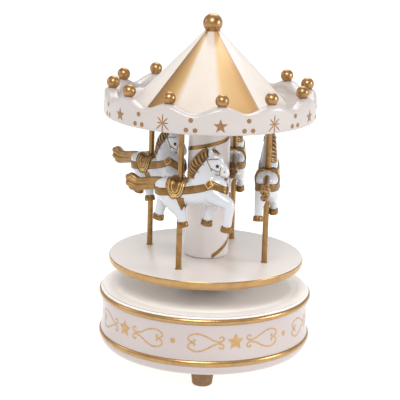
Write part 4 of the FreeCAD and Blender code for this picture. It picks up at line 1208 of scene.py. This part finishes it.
def lozenge(sculpt, skin, hand):
    """A diamond pendant on the strap with a pale edge."""
    middle = 18.0
    for size, lift, index in ((2.3, 0.42, EDGE_INDEX), (1.7, 0.55, TACK_INDEX)):
        rows = []
        for step in range(-6, 7):
            share = step / 6
            half = size * (1 - abs(share)) + 0.03
            columns = turned_down((-1, 0, 1), 1.2, lift if abs(step) < 6 else -0.1, -0.1)
            rows.append([skin.side(middle + column * half, 0.4 + share * size, height, hand)
                         for column, height in columns])
        sculpt.plate(rows, index)


# The saddle's layers, edge and field in turn: inset, height off the body and material.
SADDLE_LAYERS = (
    (0.0, 0.5, EDGE_INDEX),
    (0.75, 0.62, DARK_INDEX),
    (1.15, 0.72, EDGE_INDEX),
    (1.75, 0.78, DARK_INDEX),
    (1.95, 0.9, TACK_INDEX),
)
SADDLE_CORDS = (
    # inset, height off the body, radius, material
    (0.0, 0.42, 0.3, TACK_INDEX),
    (1.4, 0.72, 0.26, EDGE_INDEX),
    (2.9, 0.86, 0.2, EDGE_INDEX),
)
# The seat across its length: place and height off the body.
SEAT_LINE = ((-3.7, -0.2), (-3.4, 1.3), (-2.5, 1.5), (0.0, 1.0), (2.5, 1.4), (3.4, 1.2), (3.7, -0.2))


def add_tack(sculpt, skin):
    """Straps, girth and saddle."""
    for hand in (-1, 1):
        strap(sculpt, skin, hand)
        girth(sculpt, skin, hand)
        lozenge(sculpt, skin, hand)
    for layer in SADDLE_LAYERS:
        saddle_sheet(sculpt, skin, *layer)
    for cord in SADDLE_CORDS:
        saddle_rim(sculpt, skin, *cord)
    seat = [[skin.over_back(x, 5.2 * step, height) for x, height in SEAT_LINE] for step in range(-8, 9)]
    sculpt.plate(seat, TACK_INDEX)


# Points of (x, z) on the head.
BRIDLE_LINES = (
    ((15.0, 12.8), (16.6, 9.8), (18.2, 6.6)),
    ((16.0, 12.0), (18.6, 12.6), (21.4, 12.9)),
    ((22.9, 9.0), (22.6, 6.9), (22.0, 4.9)),
    ((18.0, 8.0), (20.4, 6.9), (22.6, 6.9)),
)
MOUTH_LINE = ((22.6, 4.8), (23.9, 4.4), (25.2, 4.7))
BRIDLE_STUDS = ((16.0, 11.2), (17.8, 7.6), (22.6, 6.9))
EYE = (21.0, 9.4)
NOSTRIL = (24.7, 7.0)


def add_face(sculpt, skin):
    """Thin straps round the head with studs where they cross, the mouth's line, eyes and nostrils."""
    for hand in (-1, 1):
        for line in BRIDLE_LINES:
            points = [skin.side(x, z, 0.1, hand) for x, z in smooth_line(line, 8)]
            sculpt.tube(points, 0.2, TACK_INDEX, sides=6)
        mouth = [skin.side(x, z, 0.02, hand) for x, z in smooth_line(MOUTH_LINE, 6)]
        sculpt.tube(mouth, 0.13, DARK_INDEX, sides=6)
        for x, z in BRIDLE_STUDS:
            centre = skin.side(x, z, 0.0, hand)
            bead(sculpt, centre, 0.55, EDGE_INDEX)
            bead(sculpt, centre + Vector((0, hand * 0.35, 0)), 0.3, DARK_INDEX)
        bead(sculpt, skin.side(*EYE, -0.3, hand), 0.95, BLACK_INDEX)
        bead(sculpt, skin.side(*NOSTRIL, -0.18, hand), 0.42, DARK_INDEX)


def bead(sculpt, centre, radius, index):
    """A little round stud."""
    arc = [on_circle(radius, math.pi * (step / 6 - 0.5)) for step in range(7)]
    points = [centre + Vector((0, 0, up)) for across, up in arc]
    sculpt.tube(points, [max(THIN, across) for across, up in arc], index, sides=12)


CREST = ((4.9, 3.2), (4.5, 6.4), (6.6, 10.2), (10.4, 14.2), (14.2, 16.4))
MANE_ENDS = ((9.0, 2.2), (10.4, 4.6), (12.0, 7.2), (13.8, 10.0), (16.0, 13.2))
MANE_LOCKS = 9
LOCK_REACHES = (1.12, 0.72, 0.95)
NECK_AXIS = (11.5, 9.0)


def add_mane(sculpt, skin):
    """The mane: a ridge along the neck's crest, and locks with pointed ends that hang to its right, over a
    dark sheet of painted shade between the locks.
    """
    right = -1
    crest = smooth_line(CREST, 8)
    ends = smooth_line(MANE_ENDS, 8)
    last = len(crest) - 1
    # A dark sheet on the neck under the locks: painted shade that shows between them.
    shade_sheet = []
    for (x, z), (end_x, end_z) in zip(crest, ends):
        row = [(share, 0.22) for share in (0.0, 0.25, 0.5, 0.75)] + [(0.86, 0.02)]
        shade_sheet.append([skin.side(x + 0.8 + (end_x - x) * share, z - 0.2 + (end_z - z) * share, height, right)
                      for share, height in row])
    sculpt.plate(shade_sheet, DARK_INDEX)
    for lock in range(MANE_LOCKS):
        place = (lock + 0.5) / MANE_LOCKS * last
        low = int(place)
        high = min(low + 1, last)
        start = crest[low].lerp(crest[high], place - low)
        fall = (ends[low].lerp(ends[high], place - low) - start) * LOCK_REACHES[lock % len(LOCK_REACHES)]
        points = []
        radii = []
        for step in range(15):
            share = step / 14
            bend = math.sin(share * math.pi) * 0.7
            x = start.x + 0.5 + fall.x * share - bend * 0.4
            points.append(skin.side(x, start.y + fall.y * share - bend, 0.3, right))
            radii.append(0.9 * (1 - share**1.5) + 0.05)
        sculpt.tube(points, radii, HAIR_INDEX, sides=12, flatten=0.5, groove_shade=1.0)
    axis_x, axis_top = NECK_AXIS
    ridge = []
    for x, z in crest:
        axis_z = min(z, axis_top)
        ridge.append(skin.cast((axis_x, 0, axis_z), (x - axis_x - 0.01, 0, z - axis_z), 0.1))
    radii = [0.2] + [0.85] * (last - 1) + [0.2]
    for side in (-0.7, 0.0, 0.7):
        points = [point + Vector((0, side, -0.25 * abs(side))) for point in ridge]
        sculpt.tube(points, radii, HAIR_INDEX, sides=12, groove_shade=0.9)
    for side in (-0.5, 0.5):
        knots = ((15.4, side, 15.6), (18.4, side * 1.2, 15.9), (20.8, side, 14.2), (21.9, side * 0.6, 12.6))
        forelock = smooth_line(knots, 6)
        radii = [0.75 * (1 - (step / (len(forelock) - 1)) ** 2) + 0.08 for step in range(len(forelock))]
        sculpt.tube(forelock, radii, HAIR_INDEX, sides=10, groove_shade=0.9)

TAIL_SPINE = (
    # x, height of the middle, half height
    (-10.4, -3.6, 2.8),
    (-13.4, -4.0, 3.0),
    (-16.5, -4.6, 3.0),
    (-20.0, -5.3, 3.0),
    (-23.5, -5.9, 3.2),
    (-26.5, -5.6, 4.0),
    (-29.0, -4.6, 4.2),
)

TAIL_LOCKS = (
    # place across the plume from -1 to 1, how far it falls short, sideways drift
    (0.92, 1.6, 0.2),
    (0.50, 0.4, -0.5),
    (0.08, 0.0, 0.5),
    (-0.36, 0.3, -0.4),
    (-0.80, 1.7, 0.3),
)


def add_tail(sculpt):
    """A full tail that streams out behind: five locks side by side, each with a rounded end."""
    spine = smooth_line(TAIL_SPINE, 8)
    tip = spine[-1][0]
    end_steps = 6
    for across, short, drift in TAIL_LOCKS:
        line = []
        radii = []
        for step, (x, z, half) in enumerate(spine):
            if x < tip + short:
                break
            share = step / (len(spine) - 1)
            line.append(Vector((x, drift * share, z + across * half * 0.78)))
            radii.append(half * 0.40)
        last = line[-1]
        ahead = (last - line[-2]).normalized()
        full = radii[-1]
        for step in range(1, end_steps + 1):
            thickness, reach = on_circle(full, math.pi / 2 * step / end_steps)
            lift = Vector((0, 0, 0.35 * across * step / end_steps))
            line.append(last + ahead * 1.3 * reach + lift)
            radii.append(max(0.05, thickness))
        sculpt.tube(line, radii, HAIR_INDEX, sides=20, flatten=1.25, groove_shade=0.9)


# A hoof from its sole up: radius and height.
HOOF_OUTLINE = (
    (0.0, 0.0), (2.5, 0.0), (2.75, 0.2), (2.82, 0.6), (2.6, 2.3), (2.45, 2.7), (2.2, 2.85), (0.0, 2.85)
)
HOOF_SIDES = 28


def add_hooves(sculpt):
    """Gold hooves that flare to a flat sole, a little longer than they are wide."""
    side = Vector((0, 1, 0))
    for sole, points_to in HOOVES:
        down = Vector(points_to).normalized()
        ahead = side.cross(down).normalized()
        vertices = []
        for radius, height in HOOF_OUTLINE:
            for step in range(HOOF_SIDES):
                back, across = on_circle(radius, WHOLE_TURN * step / HOOF_SIDES)
                vertices.append(Vector(sole) - down * height - ahead * back * 1.08 + side * across * 0.92)
        sculpt.add(vertices, grid_faces(len(HOOF_OUTLINE), HOOF_SIDES, closed=True), TACK_INDEX)


HORSE_PLACES = (
    # pole, heading from +X in degrees, height of the saddle
    ("front_left", -27.6, 102.9),
    ("front_right", 86.0, 105.1),
    ("rear_right", 88.0, 105.8),
    ("rear_left", -48.0, 105.0),
)


def build_horses():
    """The four horses, all from one mould."""
    vertices, faces = horse_body()
    skin = Skin(vertices, faces)
    sculpt = Sculpt()
    sculpt.add(vertices, faces, WHITE_INDEX)
    add_tack(sculpt, skin)
    add_face(sculpt, skin)
    add_mane(sculpt, skin)
    add_tail(sculpt)
    add_hooves(sculpt)
    mesh = sculpt.mesh("carousel_horse")
    for material in (HORSE_WHITE, TACK_GOLD, TACK_LINE, DARK_LINE, HAIR_GOLD, EYE_BLACK):
        mesh.materials.append(material)
    for name, heading, saddle in HORSE_PLACES:
        low, high = box(f"rod_{name}")
        middle = (low + high) / 2
        horse = bpy.data.objects.new(f"horse_{name}_moulding", mesh)
        bpy.context.scene.collection.objects.link(horse)
        centre = Vector((middle.x, middle.y, saddle)) * MM
        horse.matrix_world = Matrix.Translation(centre) @ Matrix.Rotation(math.radians(heading), 4, "Z")
        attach(horse, "carousel")
        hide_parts(f"horse_{name}")


# ---------------------------------------------------------------- carried-over nodes


def dress_cad_nodes():
    """Materials for the CAD nodes that stay visible, by their record slot."""
    finishes = {
        "plain_wood": wood_board("plain_board", (214, 188, 148), (182, 150, 108), 40),
        "steel": plain_metal("drawn_steel", (176, 178, 182), 0.3),
        "brass": plain_metal("turned_brass", (208, 172, 96), 0.28),
        "zinc_alloy": plain_metal("cast_zinc", (168, 169, 170), 0.5, scale=900),
        "black_plastic": moulded_plastic("black_moulding", (34, 33, 33)),
        "white_plastic": moulded_plastic("white_moulding", (226, 225, 220)),
        WHITE_WOOD: WHITE,
        GOLD_WOOD: BALL_GOLD,
        "gold_painted_metal": ROD_GOLD,
        "painted_resin": HORSE_WHITE,
    }
    slots = {entry["node"]: entry["material_slot"] for entry in frame["record"]["subparts"]}
    for node, thing in frame["nodes"].items():
        materials = thing.data.materials
        if not materials:
            materials.append(None)
        for index in range(len(materials)):
            materials[index] = finishes[slots[node]]


build_stage()
dress_cad_nodes()
build_base()
build_platform()
build_column()
build_rods()
build_canopy()
build_horses()
